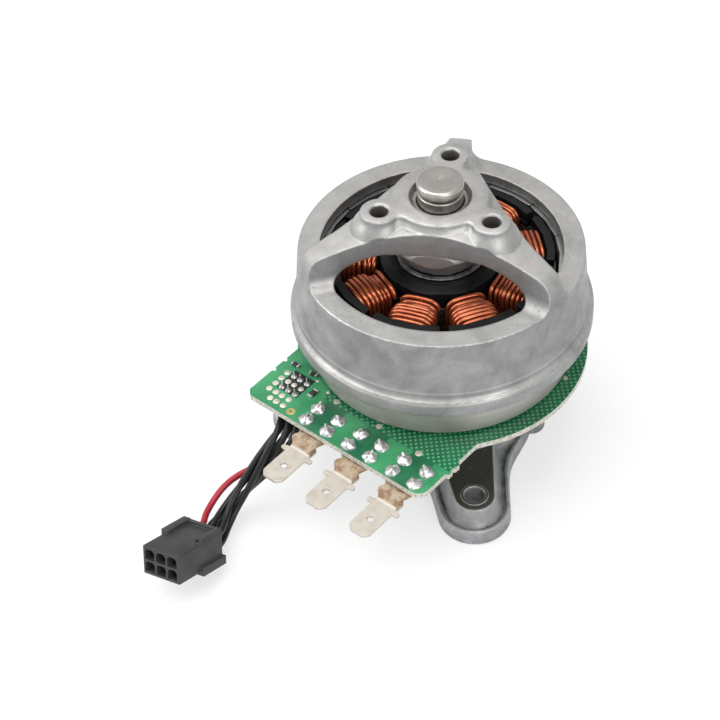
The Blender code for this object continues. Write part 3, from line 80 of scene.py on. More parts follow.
def at(x, y, z=0.0):
    return Matrix.Translation(Vector((x, y, z)) * mm)


def around(angle, reach, z=0.0):
    return Matrix.Translation(polar(angle, reach * mm, z * mm))


def atLevel(outline, z):
    return [Vector((x * mm, y * mm, z * mm)) for x, y in outline]


def placed(name, data):
    made = bpy.data.objects.new(name, data)
    bpy.context.scene.collection.objects.link(made)
    return made


def meshPiece(name, bm, smoothAngle=35.0):
    bmesh.ops.recalc_face_normals(bm, faces=bm.faces)
    data = bpy.data.meshes.new(name)
    bm.to_mesh(data)
    bm.free()
    data.shade_smooth()
    data.set_sharp_from_angle(angle=math.radians(smoothAngle))
    return placed(name, data)


def latheInto(bm, profile, steps, placement=None):
    # a closed (radius, height) profile in mm, turned about Z
    placement = placement or Matrix.Identity(4)
    rings = []
    for radius, height in profile:
        places = [polar(360.0 * i / steps, radius * mm, height * mm) for i in range(steps if radius else 1)]
        rings.append([bm.verts.new(placement @ place) for place in places])
    pairs = list(zip(rings, rings[1:]))
    if len(rings[0]) > 1 and len(rings[-1]) > 1:
        pairs.append((rings[-1], rings[0]))
    for first, second in pairs:
        for i in range(steps):
            j = (i + 1) % steps
            corners = (first[i % len(first)], first[j % len(first)], second[j % len(second)], second[i % len(second)])
            unique = list(dict.fromkeys(corners))
            if len(unique) > 2:
                bm.faces.new(unique)


def lathe(name, profile, steps, placement=None):
    bm = bmesh.new()
    latheInto(bm, profile, steps, placement)
    return meshPiece(name, bm)


def loftInto(bm, loops):
    rings = [[bm.verts.new(point) for point in loop] for loop in loops]
    count = len(rings[0])
    for lower, upper in zip(rings, rings[1:]):
        for i in range(count):
            j = (i + 1) % count
            bm.faces.new((lower[i], lower[j], upper[j], upper[i]))
    bm.faces.new(list(reversed(rings[0])))
    bm.faces.new(rings[-1])


def tubeInto(bm, points, radius, sides):
    # a round tube along a path, carried without twist
    count = len(points)
    normal = None
    loops = []
    for i, point in enumerate(points):
        tangent = (points[min(i + 1, count - 1)] - points[max(i - 1, 0)]).normalized()
        if normal is None:
            normal = tangent.orthogonal().normalized()
        normal = (normal - tangent * normal.dot(tangent)).normalized()
        across = tangent.cross(normal)
        loops.append([point + (normal * math.cos(math.tau * k / sides) + across * math.sin(math.tau * k / sides))
                      * radius for k in range(sides)])
    loftInto(bm, loops)


def boxInto(bm, size, centre, placement=None, bevel=0.0, segments=2):
    made = bmesh.ops.create_cube(bm, size=1.0)["verts"]
    bmesh.ops.scale(bm, verts=made, vec=Vector(size) * mm)
    bmesh.ops.translate(bm, verts=made, vec=Vector(centre) * mm)
    if bevel:
        edges = list({e for v in made for e in v.link_edges})
        rounded = bmesh.ops.bevel(bm, geom=edges, offset=bevel * mm, segments=segments, profile=0.5, affect="EDGES")
        made = list({v for f in rounded["faces"] for v in f.verts} | {v for v in made if v.is_valid})
    if placement is not None:
        bmesh.ops.transform(bm, matrix=placement, verts=made)


def joinWith(piece, other, operation="DIFFERENCE"):
    step = piece.modifiers.new(other.name, "BOOLEAN")
    step.operation = operation
    step.solver = "EXACT"
    step.object = other
    bpy.context.view_layer.update()
    data = bpy.data.meshes.new_from_object(piece.evaluated_get(bpy.context.evaluated_depsgraph_get()))
    piece.modifiers.clear()
    piece.data = data
    bpy.data.objects.remove(other, do_unlink=True)


def joinBox(piece, name, *box):
    bm = bmesh.new()
    boxInto(bm, *box)
    joinWith(piece, meshPiece(name, bm), "UNION")


def mount(piece, body, slotName, material, *replaced):
    piece.data.materials.clear()
    piece.data.materials.append(material)
    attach(piece, body)
    if replaced:
        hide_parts(*replaced)


def settled(piece, *ride):
    # weld what the cuts left, and keep the sharp edges
    bm = bmesh.new()
    bm.from_mesh(piece.data)
    bmesh.ops.remove_doubles(bm, verts=bm.verts, dist=0.000004)
    bmesh.ops.dissolve_degenerate(bm, edges=bm.edges, dist=0.000004)
    bm.to_mesh(piece.data)
    bm.free()
    piece.data.shade_smooth()
    piece.data.set_sharp_from_angle(angle=math.radians(28.0))
    mount(piece, *ride)


# camera at the photograph's angle

camera = {"place": (0.2159954, -0.2680878, 0.3644051), "forward": (-0.478409, 0.523413, -0.705098),
          "up": (-0.433324, 0.557667, 0.707981), "lens": 93.21}


def makeCamera(values):
    data = bpy.data.cameras.new("camera")
    data.lens = values["lens"]
    data.clip_start = 0.01
    data.clip_end = 20.0
    eye = placed("camera", data)
    forward = Vector(values["forward"]).normalized()
    right = forward.cross(Vector(values["up"])).normalized()
    up = right.cross(forward)
    eye.matrix_world = Matrix((
        (right.x, up.x, -forward.x, values["place"][0]),
        (right.y, up.y, -forward.y, values["place"][1]),
        (right.z, up.z, -forward.z, values["place"][2]),
        (0.0, 0.0, 0.0, 1.0)))
    bpy.context.scene.camera = eye


makeCamera(camera)
print("camera placed")


# nodes and links for the materials

def addGroup(name, inputs, outputs):
    tree = bpy.data.node_groups.new(name, "ShaderNodeTree")
    for label, value in inputs.items():
        tree.interface.new_socket(name=label, in_out="INPUT", socket_type="NodeSocketFloat").default_value = value
    for label in outputs:
        kind = "NodeSocketVector" if label == "Normal" else "NodeSocketFloat"
        tree.interface.new_socket(name=label, in_out="OUTPUT", socket_type=kind)
    return tree, tree.nodes.new("NodeGroupInput").outputs, tree.nodes.new("NodeGroupOutput").inputs


def node(tree, kind, links=None, **settings):
    made = tree.nodes.new(kind)
    for name, value in settings.items():
        setattr(made, name, value)
    for name, source in (links or {}).items():
        if isinstance(source, bpy.types.NodeSocket):
            tree.links.new(source, made.inputs[name])
        else:
            made.inputs[name].default_value = source
    return made


def maths(tree, operation, first, second=0.0, third=0.0):
    return node(tree, "ShaderNodeMath", {0: first, 1: second, 2: third}, operation=operation).outputs[0]


def times(tree, first, second):
    return maths(tree, "MULTIPLY", first, second)


def remap(tree, value, low, high, toLow=0.0, toHigh=1.0):
    return node(tree, "ShaderNodeMapRange", {"Value": value, "From Min": low, "From Max": high, "To Min": toLow,
                                             "To Max": toHigh}).outputs["Result"]


def mixColour(tree, factor, first, second, blend="MIX"):
    return node(tree, "ShaderNodeMix", {0: factor, 6: first, 7: second}, data_type="RGBA",
                blend_type=blend).outputs[2]


def position(tree):
    return node(tree, "ShaderNodeTexCoord").outputs["Object"]


def axes(tree, source=None):
    return node(tree, "ShaderNodeSeparateXYZ", {0: position(tree) if source is None else source}).outputs


def noise(tree, scale, detail=2.0, roughness=0.5, place=None, distortion=0.0):
    return node(tree, "ShaderNodeTexNoise", {
        "Vector": position(tree) if place is None else place, "Scale": scale, "Detail": detail,
        "Roughness": roughness, "Distortion": distortion}).outputs["Fac"]


def edgeWearAndHighlightGroup():
    # bright edges, partly rubbed wear and partly painted highlight, and a normal that rounds sharp corners
    tree, start, end = addGroup("edgeWearAndHighlight", {"Radius": 0.0004, "Breakup": 1400.0}, ("Edge", "Normal"))
    rounded = node(tree, "ShaderNodeBevel", {"Radius": start["Radius"]}, samples=6).outputs[0]
    flat = node(tree, "ShaderNodeNewGeometry").outputs["Normal"]
    dot = node(tree, "ShaderNodeVectorMath", {0: rounded, 1: flat}, operation="DOT_PRODUCT").outputs["Value"]
    shown = remap(tree, noise(tree, start["Breakup"], 3.0), 0.35, 0.6)
    tree.links.new(times(tree, remap(tree, dot, 0.995, 0.85), shown), end["Edge"])
    tree.links.new(rounded, end["Normal"])
    return tree


def castSkinGroup():
    # mottled skin of a die casting: soft cloudy tone, fine grain, small pits
    tree, start, end = addGroup("castSkin", {"Cloud Scale": 90.0, "Grain Scale": 2200.0, "Pit Scale": 500.0,
                                             "Pit Amount": 0.4}, ("Mottle", "Pits", "Height"))
    tone = remap(tree, noise(tree, start["Cloud Scale"], 5.0, 0.62, distortion=0.4), 0.32, 0.7)
    grain = noise(tree, start["Grain Scale"], 3.0, 0.6)
    cells = node(tree, "ShaderNodeTexVoronoi", {"Vector": position(tree), "Scale": start["Pit Scale"]})
    chosen = maths(tree, "GREATER_THAN", noise(tree, 160.0), 0.56)
    pitted = times(tree, times(tree, remap(tree, cells.outputs["Distance"], 0.22, 0.08), chosen), start["Pit Amount"])
    height = maths(tree, "MULTIPLY_ADD", grain, 0.5, times(tree, tone, 0.35))
    tree.links.new(tone, end["Mottle"])
    tree.links.new(pitted, end["Pits"])
    tree.links.new(maths(tree, "SUBTRACT", height, pitted), end["Height"])
    return tree


def turningGroup():
    # fine lines left by a lathe: rings by radius on faces, rings by height on walls
    tree, start, end = addGroup("turningLines", {"Radial": 1.0, "Pitch": 6000.0}, ("Lines", "Height"))
    x, y, z = axes(tree)
    radius = maths(tree, "SQRT", maths(tree, "ADD", maths(tree, "POWER", x, 2.0), maths(tree, "POWER", y, 2.0)))
    along = node(tree, "ShaderNodeMix", {0: start["Radial"], 2: z, 3: radius}, data_type="FLOAT").outputs[0]
    line = node(tree, "ShaderNodeCombineXYZ", {0: times(tree, along, start["Pitch"]),
                                               1: times(tree, maths(tree, "ARCTAN2", y, x), 0.9)}).outputs[0]
    rings = noise(tree, 1.0, 4.0, 0.7, line)
    tree.links.new(remap(tree, rings, 0.3, 0.7), end["Lines"])
    tree.links.new(rings, end["Height"])
    return tree


def dustAndShadeGroup():
    # a corner mask from ambient occlusion: pale dust on the plastics, painted shade in the corners of the castings
    # and between the copper wires
    tree, start, end = addGroup("cornerDustAndShade", {"Reach": 0.003, "Amount": 0.5}, ("DustAndShade",))
    corner = node(tree, "ShaderNodeAmbientOcclusion", {"Distance": start["Reach"]}, samples=6).outputs["AO"]
    hidden = times(tree, remap(tree, corner, 0.85, 0.35), remap(tree, noise(tree, 350.0, 4.0, 0.65), 0.35, 0.62))
    tree.links.new(times(tree, hidden, start["Amount"]), end["DustAndShade"])
    return tree


edgeWearAndHighlight, castSkin, turningLines, cornerDustAndShade = edgeWearAndHighlightGroup(), castSkinGroup(), turningGroup(), dustAndShadeGroup()


def grouped(tree, group, **values):
    made = tree.nodes.new("ShaderNodeGroup")
    made.node_tree = group
    for name, value in values.items():
        made.inputs[name.replace("_", " ")].default_value = value
    return made.outputs


def newFinish(name, **values):
    finish = bpy.data.materials.new(name)
    finish.use_nodes = True
    shader = finish.node_tree.nodes["Principled BSDF"]
    for label, value in values.items():
        shader.inputs[label.replace("_", " ")].default_value = value
    return finish, finish.node_tree, shader


def feed(tree, shader, tone, rough, metallic=None):
    for label, source in (("Base Color", tone), ("Roughness", rough), ("Metallic", metallic)):
        if source is not None:
            tree.links.new(source, shader.inputs[label])


def bumpInto(tree, shader, height, strength, distance, normal=None):
    links = {"Height": height, "Strength": strength, "Distance": distance}
    if normal is not None:
        links["Normal"] = normal
    tree.links.new(node(tree, "ShaderNodeBump", links).outputs[0], shader.inputs["Normal"])


def castFinish(name, values):
    finish, tree, shader = newFinish(name, Metallic=values["metallic"])
    skin = grouped(tree, castSkin, Cloud_Scale=values["cloud"], Grain_Scale=values["grain"],
                   Pit_Scale=values["pitScale"], Pit_Amount=values["pits"])
    wearAndHighlight = grouped(tree, edgeWearAndHighlight, Radius=values["edge"], Breakup=900.0)
    dustAndShade = grouped(tree, cornerDustAndShade, Reach=values["cornerReach"], Amount=values["cornerDark"])
    tone = mixColour(tree, skin["Mottle"], values["dark"], values["light"])
    # painted shade: faces that do not point up are multiplied by the darker, cooler wall colour
    facing = axes(tree, node(tree, "ShaderNodeNewGeometry").outputs["Normal"])[2]
    wall = mixColour(tree, 1.0, tone, values["wall"], "MULTIPLY")
    tone = mixColour(tree, remap(tree, facing, 0.1, 0.8), wall, tone)
    tone = mixColour(tree, skin["Pits"], tone, values["pit"])
    # painted shade: corners darken towards the corner colour
    tone = mixColour(tree, dustAndShade["DustAndShade"], tone, values["corner"])
    if "padLevel" in values:    # the pad tops under the board get a painted shadow, crossed by lighter real scratches
        height, level = axes(tree)[2], values["padLevel"]
        seat = times(tree, remap(tree, height, level - 0.1 * mm, level),
                     maths(tree, "LESS_THAN", height, level + 0.5 * mm))
        seat = times(tree, seat, remap(tree, facing, 0.9, 0.98))
        drawn = node(tree, "ShaderNodeMapping", {0: position(tree), 2: (0.0, 0.0, 0.9), 3: (260.0, 2600.0, 1.0)})
        scratch = remap(tree, noise(tree, 1.0, place=drawn.outputs[0]), 0.66, 0.74)
        tone = mixColour(tree, seat, tone, mixColour(tree, scratch, values["seat"], values["scratch"]))
    # wear with a painted highlight: edges lighten towards the bright edge colour
    tone = mixColour(tree, times(tree, wearAndHighlight["Edge"], values["wearAndHighlight"]), tone, values["rubbedHighlight"])
    smooth, coarse = values["rough"]
    rough = remap(tree, skin["Mottle"], 0.0, 1.0, coarse, smooth)
    feed(tree, shader, tone, maths(tree, "SUBTRACT", rough, times(tree, wearAndHighlight["Edge"], 0.12)))
    bumpInto(tree, shader, skin["Height"], values["bump"], 0.00012, wearAndHighlight["Normal"])
    return finish


# the corner colour is painted shade in corners, the wall colour painted shade on walls, the bright edge colour wear
# with a painted highlight
bellLook = {"dark": (0.34, 0.335, 0.325, 1), "light": (0.52, 0.51, 0.495, 1), "pit": (0.20, 0.20, 0.19, 1),
            "wall": (0.66, 0.68, 0.70, 1), "corner": (0.16, 0.135, 0.125, 1), "rubbedHighlight": (0.74, 0.73, 0.71, 1),
            "metallic": 0.7, "cloud": 130.0, "grain": 2600.0, "pitScale": 800.0, "pits": 0.7, "edge": 0.0007,
            "wearAndHighlight": 0.6, "rough": (0.38, 0.56), "bump": 0.6, "cornerReach": 0.006, "cornerDark": 0.85}
baseLook = {"dark": (0.29, 0.29, 0.295, 1), "light": (0.49, 0.49, 0.495, 1), "pit": (0.10, 0.09, 0.08, 1),
            "wall": (0.80, 0.81, 0.83, 1), "corner": (0.07, 0.062, 0.056, 1), "rubbedHighlight": (0.62, 0.62, 0.61, 1),
            "metallic": 0.5, "cloud": 190.0, "grain": 2200.0, "pitScale": 700.0, "pits": 0.8, "edge": 0.0006,
            "wearAndHighlight": 0.85, "rough": (0.4, 0.58), "bump": 0.8, "cornerReach": 0.005, "cornerDark": 0.9,
            # the seat colour is painted shadow from the board above, the scratch colour real scratches
            "padLevel": 8.4 * mm, "seat": (0.085, 0.074, 0.066, 1), "scratch": (0.24, 0.225, 0.21, 1)}
bellCast, baseCast = castFinish("castAluminiumBell", bellLook), castFinish("castAluminiumBase", baseLook)


def turnedFinish(name, radial, pitch, edge, dark, light, stain, stained, share, rough, bump, metallic=1.0):
    finish, tree, shader = newFinish(name, Metallic=metallic)
    lines = grouped(tree, turningLines, Radial=radial, Pitch=pitch)
    wearAndHighlight = grouped(tree, edgeWearAndHighlight, Radius=edge, Breakup=1500.0)
    tone = mixColour(tree, lines["Lines"], dark, light)
    tone = mixColour(tree, remap(tree, noise(tree, stain, 4.0), 0.45, 0.7, 0.0, share), tone, stained)
    # wear with a painted highlight on the edges
    tone = mixColour(tree, times(tree, wearAndHighlight["Edge"], 0.6), tone, (0.85, 0.84, 0.82, 1))
    feed(tree, shader, tone, remap(tree, lines["Lines"], 0.0, 1.0, *rough))
    bumpInto(tree, shader, lines["Height"], bump, 0.00003, wearAndHighlight["Normal"])
    return finish


# by radius or height, pitch of the lines, edge, dark, light,
# stain's scale, colour and share, roughness, bump, metallic
turned = {
    "machinedRingSteel": (0.0, 5200.0, 0.0003, (0.40, 0.385, 0.36, 1), (0.56, 0.54, 0.51, 1), 70.0,
                          (0.32, 0.27, 0.225, 1), 0.5, (0.4, 0.55), 0.4, 0.6),
    "groundShaftSteel": (1.0, 7000.0, 0.0003, (0.43, 0.41, 0.385, 1), (0.60, 0.575, 0.54, 1), 260.0,
                         (0.34, 0.31, 0.28, 1), 0.3, (0.26, 0.42), 0.35),
    "brightFittingSteel": (1.0, 5000.0, 0.0002, (0.16, 0.16, 0.16, 1), (0.24, 0.24, 0.235, 1), 200.0,
                           (0.40, 0.38, 0.35, 1), 0.2, (0.24, 0.38), 0.3),
    "stackedLaminations": (0.0, 2400.0, 0.0001, (0.12, 0.12, 0.125, 1), (0.52, 0.52, 0.52, 1), 120.0,
                           (0.20, 0.15, 0.11, 1), 0.5, (0.35, 0.6), 1.0),
    "nickelPlatedMagnet": (0.4, 900.0, 0.0002, (0.42, 0.42, 0.42, 1), (0.62, 0.62, 0.61, 1), 500.0,
                           (0.30, 0.29, 0.28, 1), 0.4, (0.25, 0.42), 0.2)}
ringSteel, shaftSteel, fitSteel, coreSteel, magnetPlate = (turnedFinish(name, *look) for name, look in turned.items())


def tinFinish():
    values = {"tin": (0.56, 0.52, 0.455, 1), "dull": (0.47, 0.43, 0.37, 1), "brown": (0.20, 0.115, 0.055, 1),
              "tan": (0.36, 0.285, 0.20, 1), "neck": -49.55 * mm, "blade": 24.78 * mm}
    finish, tree, shader = newFinish("tinPlatedBrass")
    y, z = axes(tree)[1:]
    cloud = noise(tree, 420.0, 5.0, 0.6)
    wearAndHighlight = grouped(tree, edgeWearAndHighlight, Radius=0.00025, Breakup=1600.0)
    tone = mixColour(tree, remap(tree, cloud, 0.3, 0.6), values["dull"], values["tin"])
    # the neck under the board is painted brown and less metallic for its shade and the green board it reflects
    neckShade = times(tree, remap(tree, y, values["neck"], values["neck"] + 0.3 * mm),
                 remap(tree, z, values["blade"], values["blade"] + 0.2 * mm))
    neckShadeColour = mixColour(tree, remap(tree, cloud, 0.42, 0.58), values["brown"], values["tan"])
    tone = mixColour(tree, neckShade, tone, neckShadeColour)
    # wear with a painted highlight on the edges
    tone = mixColour(tree, times(tree, wearAndHighlight["Edge"], 0.45), tone, (0.72, 0.69, 0.63, 1))
    feed(tree, shader, tone, remap(tree, cloud, 0.3, 0.7, 0.42, 0.56), remap(tree, neckShade, 0.0, 1.0, 0.55, 0.25))
    bumpInto(tree, shader, noise(tree, 3000.0), 0.25, 0.00005, wearAndHighlight["Normal"])
    return finish


def copperFinish():
    finish, tree, shader = newFinish("enamelledCopperWire", Metallic=0.8, Coat_Weight=0.5, Coat_Roughness=0.18)
    patch = noise(tree, 260.0, 3.0)
    crevice = grouped(tree, cornerDustAndShade, Reach=0.0009, Amount=1.0)
    tone = mixColour(tree, remap(tree, patch, 0.35, 0.65), (0.37, 0.080, 0.030, 1), (0.62, 0.17, 0.068, 1))
    # painted shade in the gaps between the wires
    tone = mixColour(tree, crevice["DustAndShade"], tone, (0.07, 0.012, 0.006, 1))
    feed(tree, shader, tone, remap(tree, patch, 0.3, 0.7, 0.24, 0.36))
    return finish


def plasticFinish(name, dark, light, rubbedHighlight, dusty, grain, cloud, edge, wornAndHighlit, dust, rough, bump, specular=0.5):
    finish, tree, shader = newFinish(name, Specular_IOR_Level=specular)
    speck = noise(tree, grain, 3.0)
    wearAndHighlight = grouped(tree, edgeWearAndHighlight, Radius=edge, Breakup=1200.0)
    dustAndShade = grouped(tree, cornerDustAndShade, Reach=0.002, Amount=dust)
    tone = mixColour(tree, remap(tree, noise(tree, cloud, 3.0), 0.35, 0.65), dark, light)
    # rubbed wear with a painted highlight on the edges
    tone = mixColour(tree, times(tree, wearAndHighlight["Edge"], wornAndHighlit), tone, rubbedHighlight)
    tone = mixColour(tree, dustAndShade["DustAndShade"], tone, dusty)
    feed(tree, shader, tone, remap(tree, speck, 0.3, 0.7, *rough))
    bumpInto(tree, shader, speck, bump, 0.00006, wearAndHighlight["Normal"])
    return finish


# dark, light, edge colour of rubbed wear with a painted highlight, and dusty colour, scales of grain and cloud, edge,
# its share of wear and highlight, dust, roughness, bump, specular
plastics = {
    "blackNylon": ((0.0025, 0.0025, 0.003, 1), (0.006, 0.006, 0.007, 1), (0.05, 0.05, 0.052, 1),
                   (0.02, 0.019, 0.018, 1), 1600.0, 200.0, 0.0003, 0.35, 0.2, (0.4, 0.55), 0.3, 0.25),
    "charcoalHousing": ((0.025, 0.026, 0.028, 1), (0.040, 0.040, 0.042, 1), (0.15, 0.155, 0.16, 1),
                        (0.10, 0.10, 0.10, 1), 2600.0, 220.0, 0.00025, 0.6, 0.25, (0.42, 0.58), 0.5, 0.4),
    "mouldedChip": ((0.016, 0.016, 0.018, 1), (0.030, 0.030, 0.032, 1), (0.11, 0.11, 0.11, 1),
                    (0.10, 0.10, 0.10, 1), 4200.0, 500.0, 0.00012, 0.5, 0.2, (0.4, 0.55), 0.4),
    "blackWireJacket": ((0.005, 0.005, 0.006, 1), (0.011, 0.011, 0.012, 1), (0.05, 0.05, 0.05, 1),
                        (0.04, 0.04, 0.04, 1), 1800.0, 160.0, 0.0001, 0.2, 0.15, (0.3, 0.42), 0.25, 0.35),
    "redWireJacket": ((0.30, 0.014, 0.024, 1), (0.44, 0.024, 0.040, 1), (0.60, 0.10, 0.11, 1),
                      (0.30, 0.09, 0.09, 1), 1800.0, 160.0, 0.0001, 0.2, 0.15, (0.3, 0.42), 0.25, 0.4),
    "blackMaskPatch": ((0.004, 0.010, 0.008, 1), (0.010, 0.020, 0.016, 1), (0.02, 0.04, 0.03, 1),
                       (0.03, 0.04, 0.035, 1), 3000.0, 600.0, 0.0001, 0.2, 0.1, (0.3, 0.45), 0.3)}
nylonBlack, charcoal, chipBlack, blackJacket, redJacket, maskBlack = (
    plasticFinish(name, *look) for name, look in plastics.items())


def boardFinish():
    values = {"ground": (0.005, 0.105, 0.040, 1), "cloud": (0.010, 0.150, 0.058, 1), "dots": (0.10, 0.36, 0.20, 1),
              "plain": (0.048, 0.29, 0.122, 1), "plainCloud": (0.026, 0.215, 0.085, 1),
              "shade": (0.009, 0.115, 0.050, 1), "edge": (0.56, 0.56, 0.49, 1), "edgeDark": (0.33, 0.32, 0.27, 1),
              "pitch": 1.75 * mm, "strip": -34.6 * mm, "hatchFrom": -10.6 * mm,
              "terminals": (-5.8 * mm, 8.0 * mm, 21.9 * mm), "reach": 3.5 * mm}
    finish, tree, shader = newFinish("greenSolderMask", Coat_Weight=0.25, Coat_Roughness=0.2)
    x, y = axes(tree)[:2]
    # copper pour under the mask: small lighter squares, turned by 45 degrees, behind the front strip
    across, along = (remap(tree, maths(tree, "PINGPONG", maths(tree, "DIVIDE", maths(
        tree, operation, x, y), values["pitch"]), 0.5), 0.2, 0.3) for operation in ("ADD", "SUBTRACT"))
    square = times(tree, across, along)
    strip, hatchFrom = values["strip"], values["hatchFrom"]
    behind = times(tree, remap(tree, y, strip - 0.1 * mm, strip + 0.1 * mm),
                   remap(tree, x, hatchFrom - 0.4 * mm, hatchFrom))
    cloud = remap(tree, noise(tree, 170.0, 4.0), 0.38, 0.62)
    hatched = mixColour(tree, square, mixColour(tree, cloud, values["ground"], values["cloud"]), values["dots"])
    plain = mixColour(tree, cloud, values["plainCloud"], values["plain"])
    away = [maths(tree, "ABSOLUTE", maths(tree, "SUBTRACT", x, middle)) for middle in values["terminals"]]
    nearest = maths(tree, "MINIMUM", maths(tree, "MINIMUM", away[0], away[1]), away[2])
    shade = times(tree, remap(tree, nearest, values["reach"], values["reach"] - 0.3 * mm),
                  remap(tree, cloud, 0.0, 0.5, 0.55, 0.95))    # darker between the legs of each terminal
    tone = mixColour(tree, behind, mixColour(tree, shade, plain, values["shade"]), hatched)
    upright = axes(tree, node(tree, "ShaderNodeNewGeometry").outputs["True Normal"])[2]
    side = maths(tree, "LESS_THAN", maths(tree, "ABSOLUTE", upright), 0.5)
    fibre = remap(tree, noise(tree, 1400.0, 3.0), 0.4, 0.65)
    tone = mixColour(tree, side, tone, mixColour(tree, fibre, values["edge"], values["edgeDark"]))
    feed(tree, shader, tone, remap(tree, side, 0.0, 1.0, 0.3, 0.85))
    bumpInto(tree, shader, square, 0.25, 0.00004)
    return finish


def plainMetal(name, dark, light, rough, metallic, scale=900.0, bump=0.5):
    finish, tree, shader = newFinish(name, Metallic=metallic)
    flow = noise(tree, scale, 4.0, 0.6)
    feed(tree, shader, mixColour(tree, remap(tree, flow, 0.35, 0.65), dark, light),
         remap(tree, flow, 0.3, 0.7, *rough))
    bumpInto(tree, shader, flow, bump, 0.00015)
    return finish


tinPlate, copperWire, greenBoard = tinFinish(), copperFinish(), boardFinish()
solder = plainMetal("dullSolder", (0.40, 0.40, 0.41, 1), (0.76, 0.755, 0.74, 1), (0.2, 0.42), 0.85, 1500.0, 0.35)
padTin = plainMetal("barePadTin", (0.50, 0.47, 0.40, 1), (0.78, 0.74, 0.66, 1), (0.4, 0.6), 0.6)
goldPad = plainMetal("goldPlatedPad", (0.45, 0.33, 0.12, 1), (0.66, 0.52, 0.24, 1), (0.3, 0.5), 0.7)
print("finishes made")


# signal lead: six jacketed wires, made as bevelled curves

lead = {"radius": 0.85 * mm, "pitch": 2.2 * mm, "redBow": 2.5 * mm, "pinPitch": (2.2 * mm, 4.5 * mm),
        "pinCentre": (-19.4 * mm, -35.6 * mm), "boardBottom": 26.7 * mm,
        "plugLength": 16.6 * mm, "plugCentre": (-16.6 * mm, -82.1 * mm, 8.6 * mm),
        "plugTurn": (93.1, 20.0, -12.4), "plugPitch": 3.3 * mm,
        "route": ((-19.4, -35.6, 26.4), (-19.1, -36.3, 23.6), (-17.6, -38.9, 21.8), (-15.7, -43.0, 20.4),
                  (-15.4, -47.6, 18.0), (-16.9, -51.6, 13.9), (-18.6, -55.2, 9.9), (-19.7, -58.8, 6.9),
                  (-20.1, -62.4, 5.0), (-19.6, -66.2, 4.2), (-18.6, -69.6, 4.5), (-17.0, -74.0, 5.8))}
plugFrame = (Matrix.Translation(Vector(lead["plugCentre"])) @ spinZ(lead["plugTurn"][0])
             @ Matrix.Rotation(math.radians(lead["plugTurn"][1]), 4, "Y")
             @ Matrix.Rotation(math.radians(lead["plugTurn"][2]), 4, "X"))


def smoothRoute(points, count):
    chosen = [np.array(p) for p in points]
    chosen = [2 * chosen[0] - chosen[1]] + chosen + [2 * chosen[-1] - chosen[-2]]
    curve = []
    for a, b, c, d in zip(chosen, chosen[1:], chosen[2:], chosen[3:]):
        for t in np.linspace(0.0, 1.0, 24, endpoint=False):
            curve.append(0.5 * (2 * b + (c - a) * t + (2 * a - 5 * b + 4 * c - d) * t ** 2
                                + (3 * b - a - 3 * c + d) * t ** 3))
    curve.append(chosen[-2])
    curve = np.array(curve)
    lengths = np.concatenate(([0.0], np.cumsum(np.linalg.norm(np.diff(curve, axis=0), axis=1))))
    wanted = np.linspace(0.0, lengths[-1], count)
    return np.column_stack([np.interp(wanted, lengths, curve[:, axis]) for axis in range(3)])


def wirePoints(column, row, swing):
    middle = smoothRoute(lead["route"], 17) * mm
    count = len(middle)
    length = lead["plugLength"]
    pinX, pinY = lead["pinPitch"]
    plugBack = plugFrame @ Vector((length / 2 + 0.3 * mm, column * lead["plugPitch"], row * lead["plugPitch"]))
    beforePlug = plugFrame @ Vector((length / 2 + 3.2 * mm, column * lead["plugPitch"] * 0.9,
                                     row * lead["plugPitch"]))
    pin = Vector((lead["pinCentre"][0] + column * pinX, lead["pinCentre"][1] + row * pinY,
                  lead["boardBottom"] - 0.3 * mm))
    points = [pin, pin - Vector((0.0, 0.0, 1.2 * mm))]
    acrossStart = Vector((1.0, 0.0, 0.0))
    acrossEnd = (plugFrame.to_3x3() @ Vector((0.0, -1.0, 0.0))).normalized()
    for i in range(2, count - 2):
        share = i / (count - 1)
        tangent = Vector(middle[i + 1] - middle[i - 1]).normalized()
        across = acrossStart.lerp(acrossEnd, share)
        across = (across - tangent * across.dot(tangent)).normalized()
        up = across.cross(tangent)
        gather = min(1.0, share * 3.0)
        spread = max(0.0, (share - 0.75) * 4.0)
        side = column * (pinX + (lead["plugPitch"] - pinX) * spread)
        rise = row * (pinY + (lead["pitch"] - pinY) * gather + (lead["plugPitch"] - lead["pitch"]) * spread)
        turn = math.pi * min(1.0, max(0.0, (share - 0.15) / 0.7))
        bow = swing * math.sin(math.pi * min(1.0, max(0.0, (share - 0.38) / 0.57))) ** 2
        points.append(Vector(middle[i]) + across * (side * math.cos(turn) - rise * math.sin(turn))
                      + up * (side * math.sin(turn) + rise * math.cos(turn)) + Vector((-1.0, -0.2, 0.4)) * bow)
    points += [beforePlug, plugBack]
    return points


def makeWires():
    black = 0
    for row in (0.5, -0.5):
        for column in (-1.0, 0.0, 1.0):
            red = column > 0.5 and row > 0.0
            black += 0 if red else 1
            nodeName = "wire_red" if red else f"wire_black_{black}"
            points = wirePoints(column, row, lead["redBow"] if red else 0.0)
            curve = bpy.data.curves.new("jacket_" + nodeName, "CURVE")
            curve.dimensions = "3D"
            curve.bevel_depth = lead["radius"]
            curve.bevel_resolution = 5
            curve.use_fill_caps = True
            spline = curve.splines.new("NURBS")
            spline.points.add(len(points) - 1)
            for point, place in zip(spline.points, points):
                point.co = (*place, 1.0)
            spline.order_u = 4
            spline.use_endpoint_u = True
            spline.resolution_u = 6
            wire = placed("jacket_" + nodeName, curve)
            mount(wire, "stator", "red_insulation" if red else "black_insulation", redJacket if red else blackJacket,
                  nodeName)


makeWires()
print("wires laid")


# finishes for the solids that keep their own shape

shownSolids = {"magnet": magnetPlate, "insulator": nylonBlack, "stator_core": coreSteel, "dust_cap": baseCast,
               "bearing": fitSteel, "board_screw": fitSteel, "shaft_clip": fitSteel}


